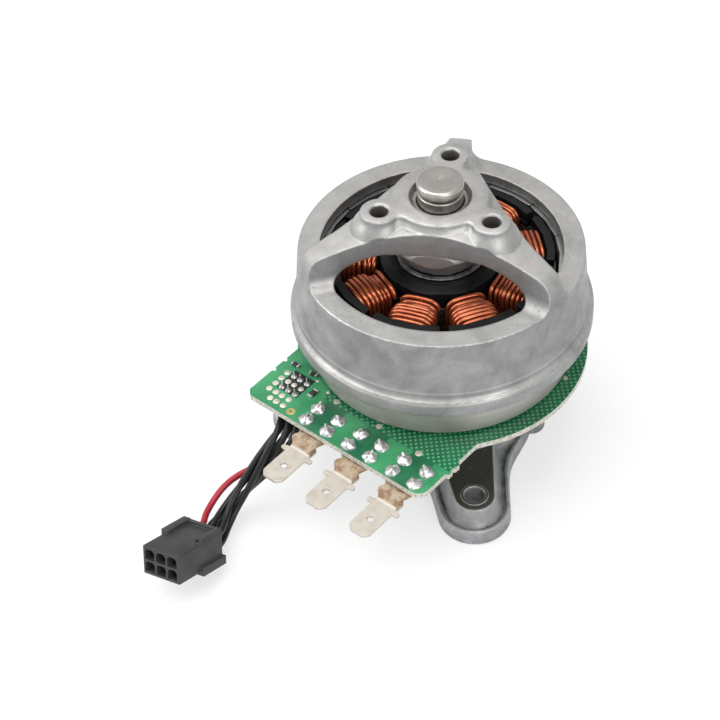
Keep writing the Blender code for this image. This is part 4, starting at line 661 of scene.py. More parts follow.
def dress(values):
    for name, solid in nodes.items():
        for start, finish in values.items():
            if name.startswith(start):
                solid.data.materials.clear()
                solid.data.materials.append(finish)


dress(shownSolids)
print("solids dressed")


# rotor bell: turned body, boss with three ears, three pockets and windows

bell = {"ringTop": 60.5, "ringInner": 30.1, "ringOuter": 35.4, "ringThickness": 2.8, "draft": 0.09,
        "flangeRadius": 38.2, "flangeHeight": 4.0, "bottom": 39.6, "bore": 33.7, "bossTop": 76.9,
        "bossRadius": 11.7, "bossRise": 2.1, "spokeSlope": 0.31, "spokeThickness": 6.6, "shoulder": 5.1,
        "recess": (7.6, 6.6, 1.5), "shaftHole": 5.9, "hubRadius": 10.8, "hubBottom": 60.7,
        "ears": (119.34, 239.34, 359.34), "earReach": 15.6, "earRadius": 4.7, "earHole": 2.2, "earFillet": 1.8,
        "windowReach": 12.8, "windowCurve": 64.6, "windowCorner": 2.6, "pocketFillet": 3.4, "steps": 192,
        "bossLayers": ((-6.5, 3.9, 3.7), (-4.0, 3.1, 2.9), (-2.4, 2.4, 2.2), (-1.2, 1.75, 1.55), (-0.4, 1.2, 1.0),
                       (0.1, 0.8, 0.62), (0.55, 0.45, 0.33), (0.95, 0.18, 0.12), (1.25, 0.05, 0.03),
                       (1.6, 0.0, 0.0), (1.83, -0.07, -0.07), (2.0, -0.22, -0.22), (2.1, -0.5, -0.5))}


def bossOutline(values, grow, endGrow):
    # the boss disc and its three ears, joined by hollow fillets
    disc = values["bossRadius"] + grow
    ear = values["earRadius"] + endGrow
    fillet = values["earFillet"] + grow * 0.4
    reach = values["earReach"]
    side = math.degrees(math.acos((reach ** 2 + (disc + fillet) ** 2 - (ear + fillet) ** 2)
                                  / (2.0 * reach * (disc + fillet))))
    points = []
    for middle in values["ears"]:
        centre = polar(middle, reach)
        for sign in (-1.0, 1.0):
            hollow = polar(middle + sign * side, disc + fillet)
            toDisc = math.degrees(math.atan2(-hollow.y, -hollow.x))
            toEar = math.degrees(math.atan2(centre.y - hollow.y, centre.x - hollow.x))
            sweep = (toEar - toDisc + 180.0) % 360.0 - 180.0
            bend = arcPoints(hollow, fillet, toDisc, toDisc + sweep, 11)
            if sign < 0.0:
                points += bend
                start = toEar + 180.0
                points += arcPoints(centre, ear, start, start + (2.0 * (middle - start)) % 360.0, 25)[1:-1]
            else:
                points += list(reversed(bend))
        points += arcPoints((0.0, 0.0), disc, middle + side, middle + 120.0 - side, 13)[1:-1]
    return [(p[0], p[1]) for p in points]


def windowOutline(values):
    deeper = values["windowCurve"] + 0.1
    centre = values["windowReach"] + values["windowCurve"]
    corner = values["windowCorner"]
    toCurve, toRing = deeper - corner, values["ringInner"] - corner
    along = (centre ** 2 + toRing ** 2 - toCurve ** 2) / (2.0 * centre)
    across = math.sqrt(toRing ** 2 - along ** 2)
    onRing = math.degrees(math.atan2(across, along))
    onCurve = math.degrees(math.atan2(across, along - centre))
    points = arcPoints((0.0, 0.0), values["ringInner"], -onRing, onRing, 49)
    points += arcPoints((along, across), corner, onRing, onCurve, 12)[1:]
    points += arcPoints((centre, 0.0), deeper, onCurve, 360.0 - onCurve, 41)[1:]
    points += arcPoints((along, -across), corner, 360.0 - onCurve, 360.0 - onRing, 12)[1:-1]
    return points


def bellProfile(ringTop, ringInner, ringOuter, ringThickness, draft, flangeRadius, flangeHeight, bottom, bore,
                bossTop, bossRadius, bossRise, spokeSlope, spokeThickness, shoulder, hubRadius, hubBottom, **others):
    crease, creaseZ = bossRadius + 1.2, bossTop - bossRise
    slope, lean = math.atan(spokeSlope), math.atan(draft)
    wall = ringOuter - shoulder / math.cos(lean)
    cone = creaseZ - shoulder / math.cos(slope)
    r = (wall + draft * (ringTop - cone - spokeSlope * crease)) / (1.0 - draft * spokeSlope)
    z = cone - spokeSlope * (r - crease)
    under = creaseZ - spokeThickness
    flangeTop = bottom + flangeHeight
    wallFoot = ringOuter + draft * (ringTop - flangeTop - 1.6)
    profile = [(0.0, creaseZ), (crease, creaseZ)]
    profile += arcPoints((r, z), shoulder, 90.0 - math.degrees(slope), math.degrees(lean), 16)
    profile += [(ringOuter, ringTop), (wallFoot - 0.15, flangeTop + 2.9),
                (wallFoot - 0.12, flangeTop + 2.6), (wallFoot + 0.06, flangeTop + 2.3)]   # a fine raised line
    profile += arcPoints((wallFoot + 1.3, flangeTop + 1.5), 1.25, 180.0, 262.0, 8)   # hollow above the flange
    profile += arcPoints((flangeRadius - 0.9, flangeTop - 0.75), 0.9, 70.0, 0.0, 7)
    profile += arcPoints((flangeRadius - 0.7, bottom + 0.7), 0.7, 0.0, -90.0, 6)
    profile += [(bore + 0.3, bottom), (bore, bottom + 0.3), (bore, ringTop - ringThickness),
                (ringInner, ringTop - ringThickness), (ringInner, ringTop - 0.4)]
    profile += [(ringInner - 0.5, under - 7.0), (ringInner - 1.6, under - 5.5),
                (ringInner - 3.7, under - 3.4), (ringInner - 6.2, under - 1.9),
                (ringInner - 8.8, under - 0.9), (hubRadius + 7.7, under), (hubRadius + 1.6, under)]
    profile += arcPoints((hubRadius + 1.6, under - 1.6), -1.6, 270.0, 180.0, 5)[1:]
    profile += arcPoints((hubRadius - 0.5, hubBottom + 0.5), 0.5, 0.0, -90.0, 4)
    profile.append((0.0, hubBottom))
    return profile, under, creaseZ


def makeBell(values):
    profile, under, creaseZ = bellProfile(**values)
    steps = values["steps"]
    piece = lathe("spokedBell", profile, steps)
    bm = bmesh.new()
    loftInto(bm, [atLevel(bossOutline(values, grow, endGrow), creaseZ + height) for height, grow,
                  endGrow in values["bossLayers"]])
    joinWith(piece, meshPiece("bossWithEars", bm), "UNION")

    centre = values["windowReach"] + values["windowCurve"]
    fillet = values["pocketFillet"]
    curve, clear = values["windowCurve"], values["bossTop"] + 4.0
    pocket = [(0.0, clear), (curve, clear)]
    pocket += arcPoints((curve - fillet, values["ringTop"] + fillet), fillet, 0.0, -90.0, 10)
    pocket.append((0.0, values["ringTop"]))
    windows = [angle - 60.0 for angle in values["ears"]]
    for angle in windows:
        place = around(angle, centre) @ spinZ(angle)
        joinWith(piece, lathe("pocket", pocket, 360, placement=place))
    bm = bmesh.new()
    outline = [(x * mm, y * mm) for x, y in windowOutline(values)]
    for angle in windows:
        window = [spinZ(angle) @ Vector((x, y, 0.0)) for x, y in outline]
        loftInto(bm, [[Vector((p.x, p.y, z * mm)) for p in window] for z in (55.0, 80.0)])
    joinWith(piece, meshPiece("windows", bm))
    deep, floor, depth = values["recess"]
    top, hole, bore = values["bossTop"], values["earHole"], values["shaftHole"]
    above, below = 78.0, 60.0    # where the cutters begin and end
    bm = bmesh.new()
    latheInto(bm, [(0.0, above), (deep + 0.4, above), (deep, top - 0.15), (floor, top - depth), (bore, top - depth),
                   (bore, below), (0.0, below)], 72)
    for angle in values["ears"]:
        latheInto(bm, [(0.0, above), (hole + 0.7, above), (hole + 0.4, top), (hole, top - 0.4), (hole, under - 3.0),
                       (0.0, under - 3.0)], 40, around(angle, values["earReach"]))
    joinWith(piece, meshPiece("bores", bm))
    settled(piece, "rotor", "cast_aluminium", bellCast, "rotor_bell")


makeBell(bell)
print("rotor bell made")


# flux ring and shaft, turned and ground

drive = {"ring": (31.5, 33.4, 29.0, 57.4), "ringSteps": 240, "shaftSteps": 96, "boss": 5.6, "bossFoot": 60.0,
         "shaft": 5.0, "groove": (4.2, 4.4, 5.7), "foot": 3.4, "head": 5.7, "headDepth": 2.3, "neck": 4.4,
         "top": 81.5}


def makeDrive(values):
    inner, outer, low, high = values["ring"]
    ring = lathe("fluxRingSteel", [(inner, high), (outer, high)]
                 + arcPoints((outer - 0.35, low + 0.35), 0.35, 0.0, -90.0, 5)
                 + arcPoints((inner + 0.25, low + 0.25), 0.25, -90.0, -180.0, 4), values["ringSteps"])
    mount(ring, "rotor", "bright_steel", ringSteel, "flux_ring")
    top, head, neck, boss, stem, foot = (values[part] for part in ("top", "head", "neck", "boss", "shaft", "foot"))
    bottom, bossFoot = top - values["headDepth"], values["bossFoot"]
    groove, grooveLow, grooveHigh = values["groove"]
    profile = [(0.0, top - 0.1), (0.5, top - 0.06), (0.85, top), (head - 1.0, top)]
    profile += arcPoints((head - 0.75, top - 0.75), 0.75, 80.0, 0.0, 8)
    profile += arcPoints((head - 0.3, bottom + 0.3), 0.3, 0.0, -90.0, 4)
    profile += [(neck, bottom - 0.05), (neck, bottom - 0.85), (boss - 0.2, bottom - 0.9), (boss, bottom - 1.05),
                (boss, bossFoot), (stem, bossFoot), (stem, grooveHigh), (groove, grooveHigh), (groove, grooveLow),
                (stem, grooveLow), (stem, foot + 0.5), (stem - 0.5, foot), (0.0, foot)]
    shaft = lathe("groundShaft", profile, values["shaftSteps"])
    mount(shaft, "rotor", "bright_steel", shaftSteel, "motor_shaft")


makeDrive(drive)
print("flux ring and shaft made")


# coils: layers of enamelled wire laid round each tooth

winding = {"teeth": 9, "first": 10.0, "inner": 15.5, "outer": 25.4, "turns": 8, "wire": 0.59, "halfWidth": 2.8,
           "halfHeight": 11.4, "middle": 44.0, "side": (2.5, 2.15, 2.2, 2.85, 3.05, 3.05, 3.0, 2.85),
           "rise": (2.5, 2.0, 2.1, 2.8, 3.0, 3.0, 2.9, 2.6), "layerStep": 1.75, "corner": 2.3, "crown": 0.12,
           "seed": 11}


def windingPath(values, layer, rng):
    # one continuous wire: a rounded rectangle per turn, stepping along the tooth on its underside
    count = values["turns"]
    pitch = (values["outer"] - values["inner"]) / count
    wire = values["wire"]
    layerStep = layer * wire * values["layerStep"]
    points = []
    for turn in range(count if layer == 0 else count - 1):
        place = turn + (0.5 if layer == 0 else 1.0)
        side = float(np.interp(place, np.arange(count) + 0.5, values["side"])) - layerStep
        rise = float(np.interp(place, np.arange(count) + 0.5, values["rise"])) - layerStep
        reach = values["inner"] + place * pitch + rng.uniform(-0.05, 0.05)
        lean = rng.uniform(-0.14, 0.14)
        wide = values["halfWidth"] + max(side, 0.7) - wire + rng.uniform(-0.1, 0.02)
        high = values["halfHeight"] + max(rise, 0.7) - wire + rng.uniform(-0.08, 0.0)
        corner = min(values["corner"], wide - 0.4)
        loop = []
        for start, sy, sz in ((0.0, 1, 1), (90.0, -1, 1), (180.0, -1, -1), (270.0, 1, -1)):
            for y, z in arcPoints((0.0, 0.0), corner, start, start + 90.0, 6):
                loop.append((sy * (wide - corner) + y, sz * (high - corner) + z))
            if sz > 0 and sy > 0:   # the top run crowns a little
                crown = values["crown"]
                loop += [((wide - corner) * t, high + crown * (1.0 - t * t)) for t in (0.6, 0.2, -0.2, -0.6)]
        steps = len(loop)
        for i, (y, z) in enumerate(loop):
            share = i / steps
            climb = max(0.0, min(1.0, (share - 0.62) / 0.3)) if turn < count - 1 else 0.0
            points.append(Vector((reach + lean * y / wide * 0.6 + climb * pitch, y, z + values["middle"])) * mm)
    return points


def makeCoils(values):
    for number in range(values["teeth"]):
        rng = random.Random(values["seed"] + number)
        bm = bmesh.new()
        for layer in (0, 1):
            tubeInto(bm, windingPath(values, layer, rng), values["wire"] * mm, 10)
        bmesh.ops.transform(bm, matrix=spinZ(values["first"] + 360.0 * number / values["teeth"]), verts=bm.verts)
        coil = meshPiece(f"woundCoil_{number + 1}", bm, 80.0)
        mount(coil, "stator", "enamelled_copper", copperWire, f"coil_{number + 1}")


makeCoils(winding)
print("coils wound")


# base casting: lipped plate with three lobes, drafted pads, tower and bearing tube

base = {"lobes": (321.0, 219.0, 90.0), "lobeRadius": 9.3, "lobeReach": 36.42, "lobeFlare": 12.0, "lobeBlend": 7.0,
        "disc": 24.0, "lipWidth": 1.3, "lipTop": 4.4, "floor": 3.0, "posts": (270.0, 30.0, 150.0), "postRadius": 3.0,
        "postReach": 23.6, "postTop": 26.4, "screw": 1.6, "padTop": 8.5, "padRadius": 4.9, "padFlare": 12.0,
        "padWall": ((3.5, 2.2), (3.0, 3.05), (2.3, 3.75), (1.65, 4.7), (1.15, 5.8), (0.8, 6.9), (0.5, 7.8),
                    (0.38, 8.15), (0.22, 8.38), (0.0, 8.48), (-0.25, 8.5)),
        "bolt": 2.6, "ringProud": 0.12, "tower": 20.5, "towerTop": 18.2, "ledge": (12.1, 34.2), "tube": (11.2, 59.3),
        "bearing": 9.8, "bore": 8.3, "bearings": ((54.4, 61.0), (-1.0, 11.3)), "points": 420}


def lobeExit(values, angle, radius, plus, minus):
    # how far a ray from the axis runs inside one lobe
    turn = math.radians(angle)
    if abs(angle) > 80.0:
        return 0.0
    reach = values["lobeReach"]
    across = (reach * math.sin(turn)) ** 2
    if across < radius ** 2:
        run = reach * math.cos(turn) + math.sqrt(radius ** 2 - across)
        bearing = math.degrees(math.atan2(run * math.sin(turn), run * math.cos(turn) - reach))
        if minus - 90.0 <= bearing <= 90.0 - plus:
            return run
    flare = math.radians(plus if angle > 0.0 else minus)
    return (reach * math.sin(flare) + radius) / math.sin(abs(turn) + flare)


def blended(first, second, width):
    near = max(width - abs(first - second), 0.0)
    return max(first, second) + near ** 2 / (4.0 * width)


def baseReach(values, angle, inset):
    reach = values["disc"] - inset
    wide = values["lobeFlare"]
    for middle, (plus, minus) in zip(values["lobes"], ((wide, 0.0), (0.0, wide), (wide, wide))):
        offset = (angle - middle + 180.0) % 360.0 - 180.0
        reach = blended(reach, lobeExit(values, offset, values["lobeRadius"] - inset, plus, minus),
                        values["lobeBlend"])
    for middle in values["posts"]:
        offset = math.radians((angle - middle + 180.0) % 360.0 - 180.0)
        room = ((values["postRadius"] + values["lipWidth"] / 2 - inset) ** 2
                - (values["postReach"] * math.sin(offset)) ** 2)
        if room > 0.0 and abs(offset) < 1.0:
            reach = blended(reach, values["postReach"] * math.cos(offset) + math.sqrt(room), values["lobeBlend"] / 4)
    return reach


def outlineBearings(values):
    fine = [polar(i / 4, baseReach(values, i / 4, 0.0)) for i in range(1440)]
    shares = [0.0]
    for i, here in enumerate(fine):
        after = fine[(i + 1) % 1440]
        bend = math.degrees((here - fine[i - 1]).angle(after - here))
        shares.append(shares[-1] + (after - here).length / values["disc"] * 4.0 + bend / 13.0)
    return np.interp(np.linspace(0.0, shares[-1], values["points"], endpoint=False), shares, np.arange(1441) / 4)


def padOutline(values, grow, plus, minus):
    radius, reach = values["padRadius"] + grow, values["lobeReach"]
    plus, minus = math.radians(plus), math.radians(minus)
    root = values["tower"] * 0.6
    points = [(root, -(radius + (reach - root) * math.sin(minus)) / math.cos(minus))]
    points += arcPoints((reach, 0.0), radius, math.degrees(minus) - 90.0, 90.0 - math.degrees(plus), 41)
    points.append((root, (radius + (reach - root) * math.sin(plus)) / math.cos(plus)))
    return points


def makeBase(values):
    bearings = outlineBearings(values)
    lip, top, floor = values["lipWidth"], values["lipTop"], values["floor"]
    bm = bmesh.new()
    loftInto(bm, [[polar(angle, baseReach(values, angle, inset) * mm, z * mm) for angle in bearings] for inset, z in (
        (0.5, 0.0), (0.15, 0.12), (0.0, 0.5), (0.3, top - 0.35), (0.4, top - 0.12), (0.6, top), (lip - 0.2, top),
        (lip, top - 0.12), (lip + 0.1, top - 0.4), (lip + 0.3, floor + 0.45), (lip + 0.7, floor + 0.08),
        (lip + 1.2, floor))])
    piece = meshPiece("castBase", bm)
    wide = values["padFlare"]
    for middle, (plus, minus) in zip(values["lobes"], ((wide, 1.5), (1.5, wide), (wide, wide))):
        bm = bmesh.new()
        loftInto(bm, [[spinZ(middle) @ Vector((x * mm, y * mm, z * mm)) for x, y in padOutline(
            values, grow, plus, minus)] for grow, z in values["padWall"]])
        joinWith(piece, meshPiece("pad", bm), "UNION")
    tower, towerTop = values["tower"], values["towerTop"]
    ledge, ledgeTop = values["ledge"]
    tube, tubeTop = values["tube"]
    profile = [(0.0, tubeTop), (tube - 0.3, tubeTop), (tube, tubeTop - 0.3), (tube, ledgeTop),
               (ledge - 0.1, ledgeTop), (ledge, ledgeTop - 0.1)]
    profile += arcPoints((ledge + 1.6, towerTop + 1.6), -1.6, 0.0, 90.0, 7)
    profile += arcPoints((tower - 1.2, towerTop - 1.2), 1.2, 88.0, 6.0, 7)
    profile += [(tower + 2.0, floor + 1.6), (tower + 2.3, floor + 1.0), (tower + 2.7, floor + 0.3),
                (tower + 2.8, floor - 0.6), (0.0, floor - 0.6)]
    joinWith(piece, lathe("tower", profile, 120), "UNION")
    bm = bmesh.new()
    postTop, post = values["postTop"], values["postRadius"]
    for angle in values["posts"]:
        latheInto(bm, [(0.0, postTop), (post - 0.3, postTop), (post, postTop - 0.3), (post, 2.1), (0.0, 2.1)], 40,
                  around(angle, values["postReach"]))
    joinWith(piece, meshPiece("posts", bm), "UNION")
    bm = bmesh.new()
    bolt, padTop = values["bolt"], values["padTop"]
    for angle in values["lobes"]:
        proud = padTop + values["ringProud"]
        latheInto(bm, [(0.0, proud), (bolt + 0.8, proud), (bolt + 1.1, padTop - 0.1), (bolt + 1.1, 7.0), (0.0, 7.0)],
                  48, around(angle, values["lobeReach"]))
    joinWith(piece, meshPiece("footRings", bm), "UNION")
    bm = bmesh.new()
    for angle in values["lobes"]:
        latheInto(bm, [(0.0, padTop + 2.0), (bolt + 0.5, padTop + 2.0), (bolt + 0.3, padTop + 0.15),
                       (bolt, padTop - 0.2), (bolt, -1.0), (0.0, -1.0)], 48,
                  around(angle, values["lobeReach"]))
    for angle in values["posts"]:
        latheInto(bm, [(0.0, 30.0), (values["screw"], 30.0), (values["screw"], 20.3), (0.0, 20.3)], 32,
                  around(angle, values["postReach"]))
    (upperLow, upperHigh), (lowerLow, lowerHigh) = values["bearings"]
    seat, bore = values["bearing"], values["bore"]
    latheInto(bm, [(0.0, upperHigh), (seat, upperHigh), (seat, upperLow), (bore, upperLow),
                   (bore, lowerHigh), (seat, lowerHigh), (seat, lowerLow), (0.0, lowerLow)], 96)
    joinWith(piece, meshPiece("baseBores", bm))
    settled(piece, "stator", "base_aluminium", baseCast, "base_bracket")


makeBase(base)
print("base made")


# circuit board: drilled board, bare pads, soldered pins and small parts

board = {"radius": 37.3, "front": 45.1, "left": 27.4, "right": 29.2, "corner": 3.0, "chamfer": 1.6, "bottom": 26.7,
         "top": 28.3, "bites": (-30.25, -34.55), "tab": (-33.22, 2.5, 0.9), "bore": 12.4, "legHole": 0.85,
         "screwHole": 1.6, "columns": (-23.7, -21.45, -19.4, -17.1), "rows": (-33.4, -35.7, -38.0, -40.35, -42.7),
         "padRadius": 0.85, "pinRows": (0, 2), "pinHeight": 2.5,
         "holes": ((-7.1, -33.5, 0.85), (6.6, -33.4, 0.85), (20.0, -34.4, 0.9), (32.9, 8.2, 0.7)),
         "goldRing": (-14.0, -43.1), "patch": (-22.6, -16.0, -38.9, -31.5),
         "specks": ((-10.9, -32.3), (-15.6, -30.9)), "small": ((-23.8, -30.1, 0.0), (-18.0, -29.9, 10.0)),
         "smallSize": (1.5, 1.15, 0.5), "smallEnd": (0.5, 1.2, 0.56), "chip": (-13.6, -35.1),
         "chipSize": (1.45, 1.7, 0.6), "chipEnd": (1.5, 0.65, 0.62), "sensors": (32.0, (250.0, 270.0, 290.0)),
         "sensorSize": (1.5, 3.0, 0.4), "seed": 5}


def boardOutline(values):
    right, left, front, radius = values["right"], -values["left"], -values["front"], values["radius"]
    start = -math.degrees(math.acos(right / radius))
    stop = 180.0 + math.degrees(math.acos(values["left"] / radius))
    points = arcPoints((0.0, 0.0), radius, start, stop, 180)
    for place in values["bites"]:
        points += [(left + deep, place + up) for up, deep in (
            (0.72, 0.0), (0.62, 0.28), (0.45, 0.5), (0.33, 0.78), (0.05, 0.7), (-0.2, 0.84), (-0.42, 0.62),
            (-0.55, 0.3), (-0.7, 0.0))]
    points += [(left, front + values["chamfer"]), (left + 0.2, front + values["chamfer"] * 0.8),
               (left + values["chamfer"] * 0.8, front + 0.2), (left + values["chamfer"], front)]
    corner = values["corner"]
    points += arcPoints((right - corner, front + corner), corner, -90.0, 0.0, 14)
    tab, reach, out = values["tab"]
    points += [(right + out * share, tab + reach * place) for place, share in (
        (-1.0, 0.0), (-0.9, 0.7), (-0.78, 1.0), (-0.55, 0.85), (-0.36, 1.0), (-0.25, 0.45), (-0.05, 0.3),
        (0.12, 0.5), (0.25, 0.95), (0.5, 0.8), (0.7, 1.05), (0.86, 0.8), (1.0, 0.0))]
    return points


def makeBoard(values):
    bm = bmesh.new()
    loftInto(bm, [atLevel(boardOutline(values), values[level]) for level in ("bottom", "top")])
    piece = meshPiece("drilledBoard", bm)
    bm = bmesh.new()
    drills = [(0.0, 0.0, values["bore"], 120)]
    drills += [(x + side * terminal["legSpread"], -y, values["legHole"], 20) for x in terminal["x"]
               for y in terminal["legRows"] for side in (-1.0, 1.0)]
    drills += [(*(polar(angle, base["postReach"])[:2]), values["screwHole"], 32) for angle in base["posts"]]
    drills += [(x, y, 0.45, 16) for x, y, ring in values["holes"]]
    for x, y, radius, steps in drills:
        latheInto(bm, [(0.0, 30.0), (radius, 30.0), (radius, 25.0), (0.0, 25.0)], steps, at(x, y))
    joinWith(piece, meshPiece("drills", bm))
    settled(piece, "stator", "green_board", greenBoard, "circuit_board")

    rng = random.Random(values["seed"])
    pads, pins = bmesh.new(), bmesh.new()
    high = values["top"]
    for row, y in enumerate(values["rows"]):
        for column, x in enumerate(values["columns"]):
            if row == 4 and column == 0:
                continue
            place = at(x + (0.2 if row == 4 else 0.0), y)
            radius = values["padRadius"] * rng.uniform(0.95, 1.06)
            dome = rng.uniform(0.06, 0.2)
            latheInto(pads, [(0.0, high + dome), (radius * 0.5, high + dome * 0.85),
                             (radius * 0.85, high + dome * 0.45), (radius, high + 0.01),
                             (radius, high - 0.05), (0.0, high - 0.05)], 24, place)
            if row in values["pinRows"] and column > 0:
                lean = Matrix.Rotation(math.radians(rng.uniform(-7.0, 7.0)), 4, "X") @ Matrix.Rotation(
                    math.radians(rng.uniform(-6.0, 6.0)), 4, "Y")
                tall = values["pinHeight"] * rng.uniform(0.9, 1.1)
                latheInto(pins, [(0.0, tall), (0.12, tall * 0.97), (0.18, tall * 0.7), (0.25, tall * 0.42),
                                 (0.38, tall * 0.26), (0.58, tall * 0.14), (0.78, tall * 0.05), (0.86, 0.0),
                                 (0.0, -0.05)], 20, at(x, y, high) @ lean)
    for x, y, ring in values["holes"]:
        latheInto(pads, [(0.0, high + 0.14), (ring * 0.55, high + 0.12), (ring, high + 0.03),
                         (ring + 0.05, high - 0.03), (0.0, high - 0.03)], 28, at(x, y))
    for x, y in values["specks"]:
        latheInto(pads, [(0.0, high + 0.2), (0.35, high + 0.14), (0.5, high), (0.0, high - 0.02)], 16, at(x, y))
    mount(meshPiece("barePads", pads), "stator", "tinned_brass", padTin)
    mount(meshPiece("signalPins", pins, 60.0), "stator", "tinned_brass", solder)

    bm = bmesh.new()
    x, y = values["goldRing"]
    latheInto(bm, [(0.42, high + 0.05), (0.8, high + 0.05), (1.15, high + 0.03), (1.2, high - 0.03),
                   (0.42, high - 0.03)], 32, at(x, y))
    mount(meshPiece("goldRingPad", bm), "stator", "tinned_brass", goldPad)

    bm = bmesh.new()
    west, east, south, north = values["patch"]
    boxInto(bm, (east - west, north - south, 0.05), ((east + west) / 2, (north + south) / 2, high + 0.015))
    mount(meshPiece("darkMaskPatch", bm), "stator", "green_board", maskBlack)

    bodies, ends = bmesh.new(), bmesh.new()
    for x, y, turn in values["small"]:
        place = at(x, y, high) @ spinZ(turn)
        boxInto(bodies, values["smallSize"], (0.0, 0.0, 0.27), place, 0.06)
        for side in (-1.0, 1.0):
            boxInto(ends, values["smallEnd"], (side * 0.95, 0.0, 0.28), place, 0.1)
    x, y = values["chip"]
    for side in (-1.0, 1.0):
        boxInto(ends, values["chipEnd"], (x, side * 1.15 + y, high + 0.31), None, 0.14)
    mount(meshPiece("smallChips", bodies), "stator", "chip_black", chipBlack)
    mount(meshPiece("chipEnds", ends), "stator", "tinned_brass", solder)
    bm = bmesh.new()
    boxInto(bm, values["chipSize"], (x, y, high + 0.32), None, 0.1)
    mount(meshPiece("boardChip", bm), "stator", "chip_black", chipBlack, "board_chip")
    reach, angles = values["sensors"]
    for number, angle in enumerate(angles):    # flat sensors in the shadow under the flux ring
        bm = bmesh.new()
        boxInto(bm, values["sensorSize"], (0.0, 0.0, 0.2), around(angle, reach, high) @ spinZ(angle), 0.08)
        mount(meshPiece(f"flatSensor_{number + 1}", bm), "stator", "chip_black", chipBlack,
              f"rotor_sensor_{number + 1}")


# blade terminals: formed strip with shoulders, lug and folded ear, on four soldered legs

terminal = {"x": (-5.8, 8.0, 21.9), "thickness": 0.8, "hole": 0.87, "holeAt": 55.2, "legSpread": 3.4,
            "legRows": (38.2, 42.7), "legSize": (0.9, 0.6, 3.6), "legLevel": 27.9,
            "ear": (3.35, -48.2, 25.15), "earSize": (0.5, 2.2, 1.9), "mound": 2.0, "tall": 3.0, "moundSteps": 28,
            "dome": ((-0.03, 1.0, 1.0), (0.05, 0.985, 1.0), (0.14, 0.93, 0.98), (0.25, 0.8, 0.95),
                     (0.35, 0.64, 0.9), (0.44, 0.49, 0.8), (0.54, 0.38, 0.68), (0.68, 0.30, 0.55),
                     (0.84, 0.24, 0.48), (0.95, 0.17, 0.5), (1.0, 0.07, 0.6)), "seed": 23,
            "strip": ((36.6, 26.4, 4.2, 4.2), (44.2, 26.4, 4.2, 4.2), (44.8, 26.4, 4.0, 4.1), (45.3, 26.4, 3.4, 3.9),
                      (46.0, 26.38, 3.3, 3.6), (46.6, 26.28, 3.9, 3.3), (47.2, 26.05, 4.1, 3.2),
                      (47.8, 25.7, 3.9, 3.15), (48.3, 25.35, 3.3, 3.1), (48.8, 25.0, 3.0, 3.1),
                      (49.3, 24.78, 3.0, 3.15), (49.7, 24.7, 3.2, 3.3), (49.9, 24.7, 4.4, 4.4),
                      (50.05, 24.7, 4.75, 4.75), (50.85, 24.7, 4.8, 4.8), (51.0, 24.7, 4.5, 4.5),
                      (51.1, 24.7, 3.3, 3.3), (51.3, 24.7, 3.15, 3.15), (59.1, 24.7, 3.15, 3.15),
                      (59.7, 24.7, 2.75, 2.75), (60.3, 24.7, 2.2, 2.2), (60.6, 24.7, 1.9, 1.9))}


def makeTerminals(values):
    thick = values["thickness"]
    for number, x in enumerate(values["x"]):
        bm = bmesh.new()
        loops = []
        for y, z, left, right in values["strip"]:
            edge = 0.13
            section = ((-left, z - edge), (-left + edge, z), (right - edge, z), (right, z - edge),
                       (right, z - thick + edge), (right - edge, z - thick), (-left + edge, z - thick),
                       (-left, z - thick + edge))
            loops.append([Vector((x + across, -y, height)) * mm for across, height in section])
        loftInto(bm, loops)
        piece = meshPiece(f"bladeTerminal_{number + 1}", bm)
        joinWith(piece, lathe("bladeHole", [(0.0, 27.0), (values["hole"] + 0.35, 27.0), (values["hole"] + 0.12, 24.7),
                                            (values["hole"], 24.55), (values["hole"], 22.0), (0.0, 22.0)], 32,
                              placement=at(x, -values["holeAt"])))
        extras = bmesh.new()
        extras.from_mesh(piece.data)
        for side in (-1.0, 1.0):
            for y in values["legRows"]:
                boxInto(extras, values["legSize"], (x + side * values["legSpread"], -y, values["legLevel"]), None,
                        0.08)
        out, along, level = values["ear"]
        boxInto(extras, values["earSize"], (x + out, along, level), None, 0.12)
        extras.to_mesh(piece.data)
        extras.free()
        settled(piece, "stator", "tinned_brass", tinPlate, f"terminal_{number + 1}")


def makeSolder(values):
    # each mound is a slumped dome whose tail leans one way
    rng = random.Random(values["seed"])
    bm = bmesh.new()
    steps = values["moundSteps"]
    for x in values["x"]:
        for y in values["legRows"]:
            for side in (-1.0, 1.0):
                lean = math.radians(rng.uniform(150.0, 250.0) if rng.random() < 0.65 else rng.uniform(-40.0, 60.0))
                tail = rng.uniform(0.45, 0.95)
                blade = math.radians(rng.uniform(50.0, 130.0))
                wobble = [rng.uniform(-0.06, 0.06) for i in range(5)]
                tall = values["tall"] * rng.uniform(0.62, 1.05)
                loops = []
                for height, radius, flat in values["dome"]:
                    loop = []
                    shift = tail * max(height, 0.0) ** 1.3
                    for i in range(steps):
                        turn = math.tau * i / steps
                        bulge = 1.0 + sum(w * math.sin((k + 1) * turn + 5.0 * w * 30.0) for k, w in enumerate(wobble))
                        reach = radius * values["mound"] * bulge
                        long, short = reach * math.cos(turn - blade), reach * flat * math.sin(turn - blade)
                        loop.append(Vector((
                            x + side * values["legSpread"] + shift * math.cos(lean)
                            + long * math.cos(blade) - short * math.sin(blade),
                            -y + shift * math.sin(lean) + long * math.sin(blade) + short * math.cos(blade),
                            board["top"] + tall * height)) * mm)
                    loops.append(loop)
                loftInto(bm, loops)
    mount(meshPiece("solderMounds", bm, 75.0), "stator", "tinned_brass", solder)


makeBoard(board)
makeTerminals(terminal)
makeSolder(terminal)
print("board and terminals made")


# plug housing: six cavities, square rails on two edges and a slotted wall

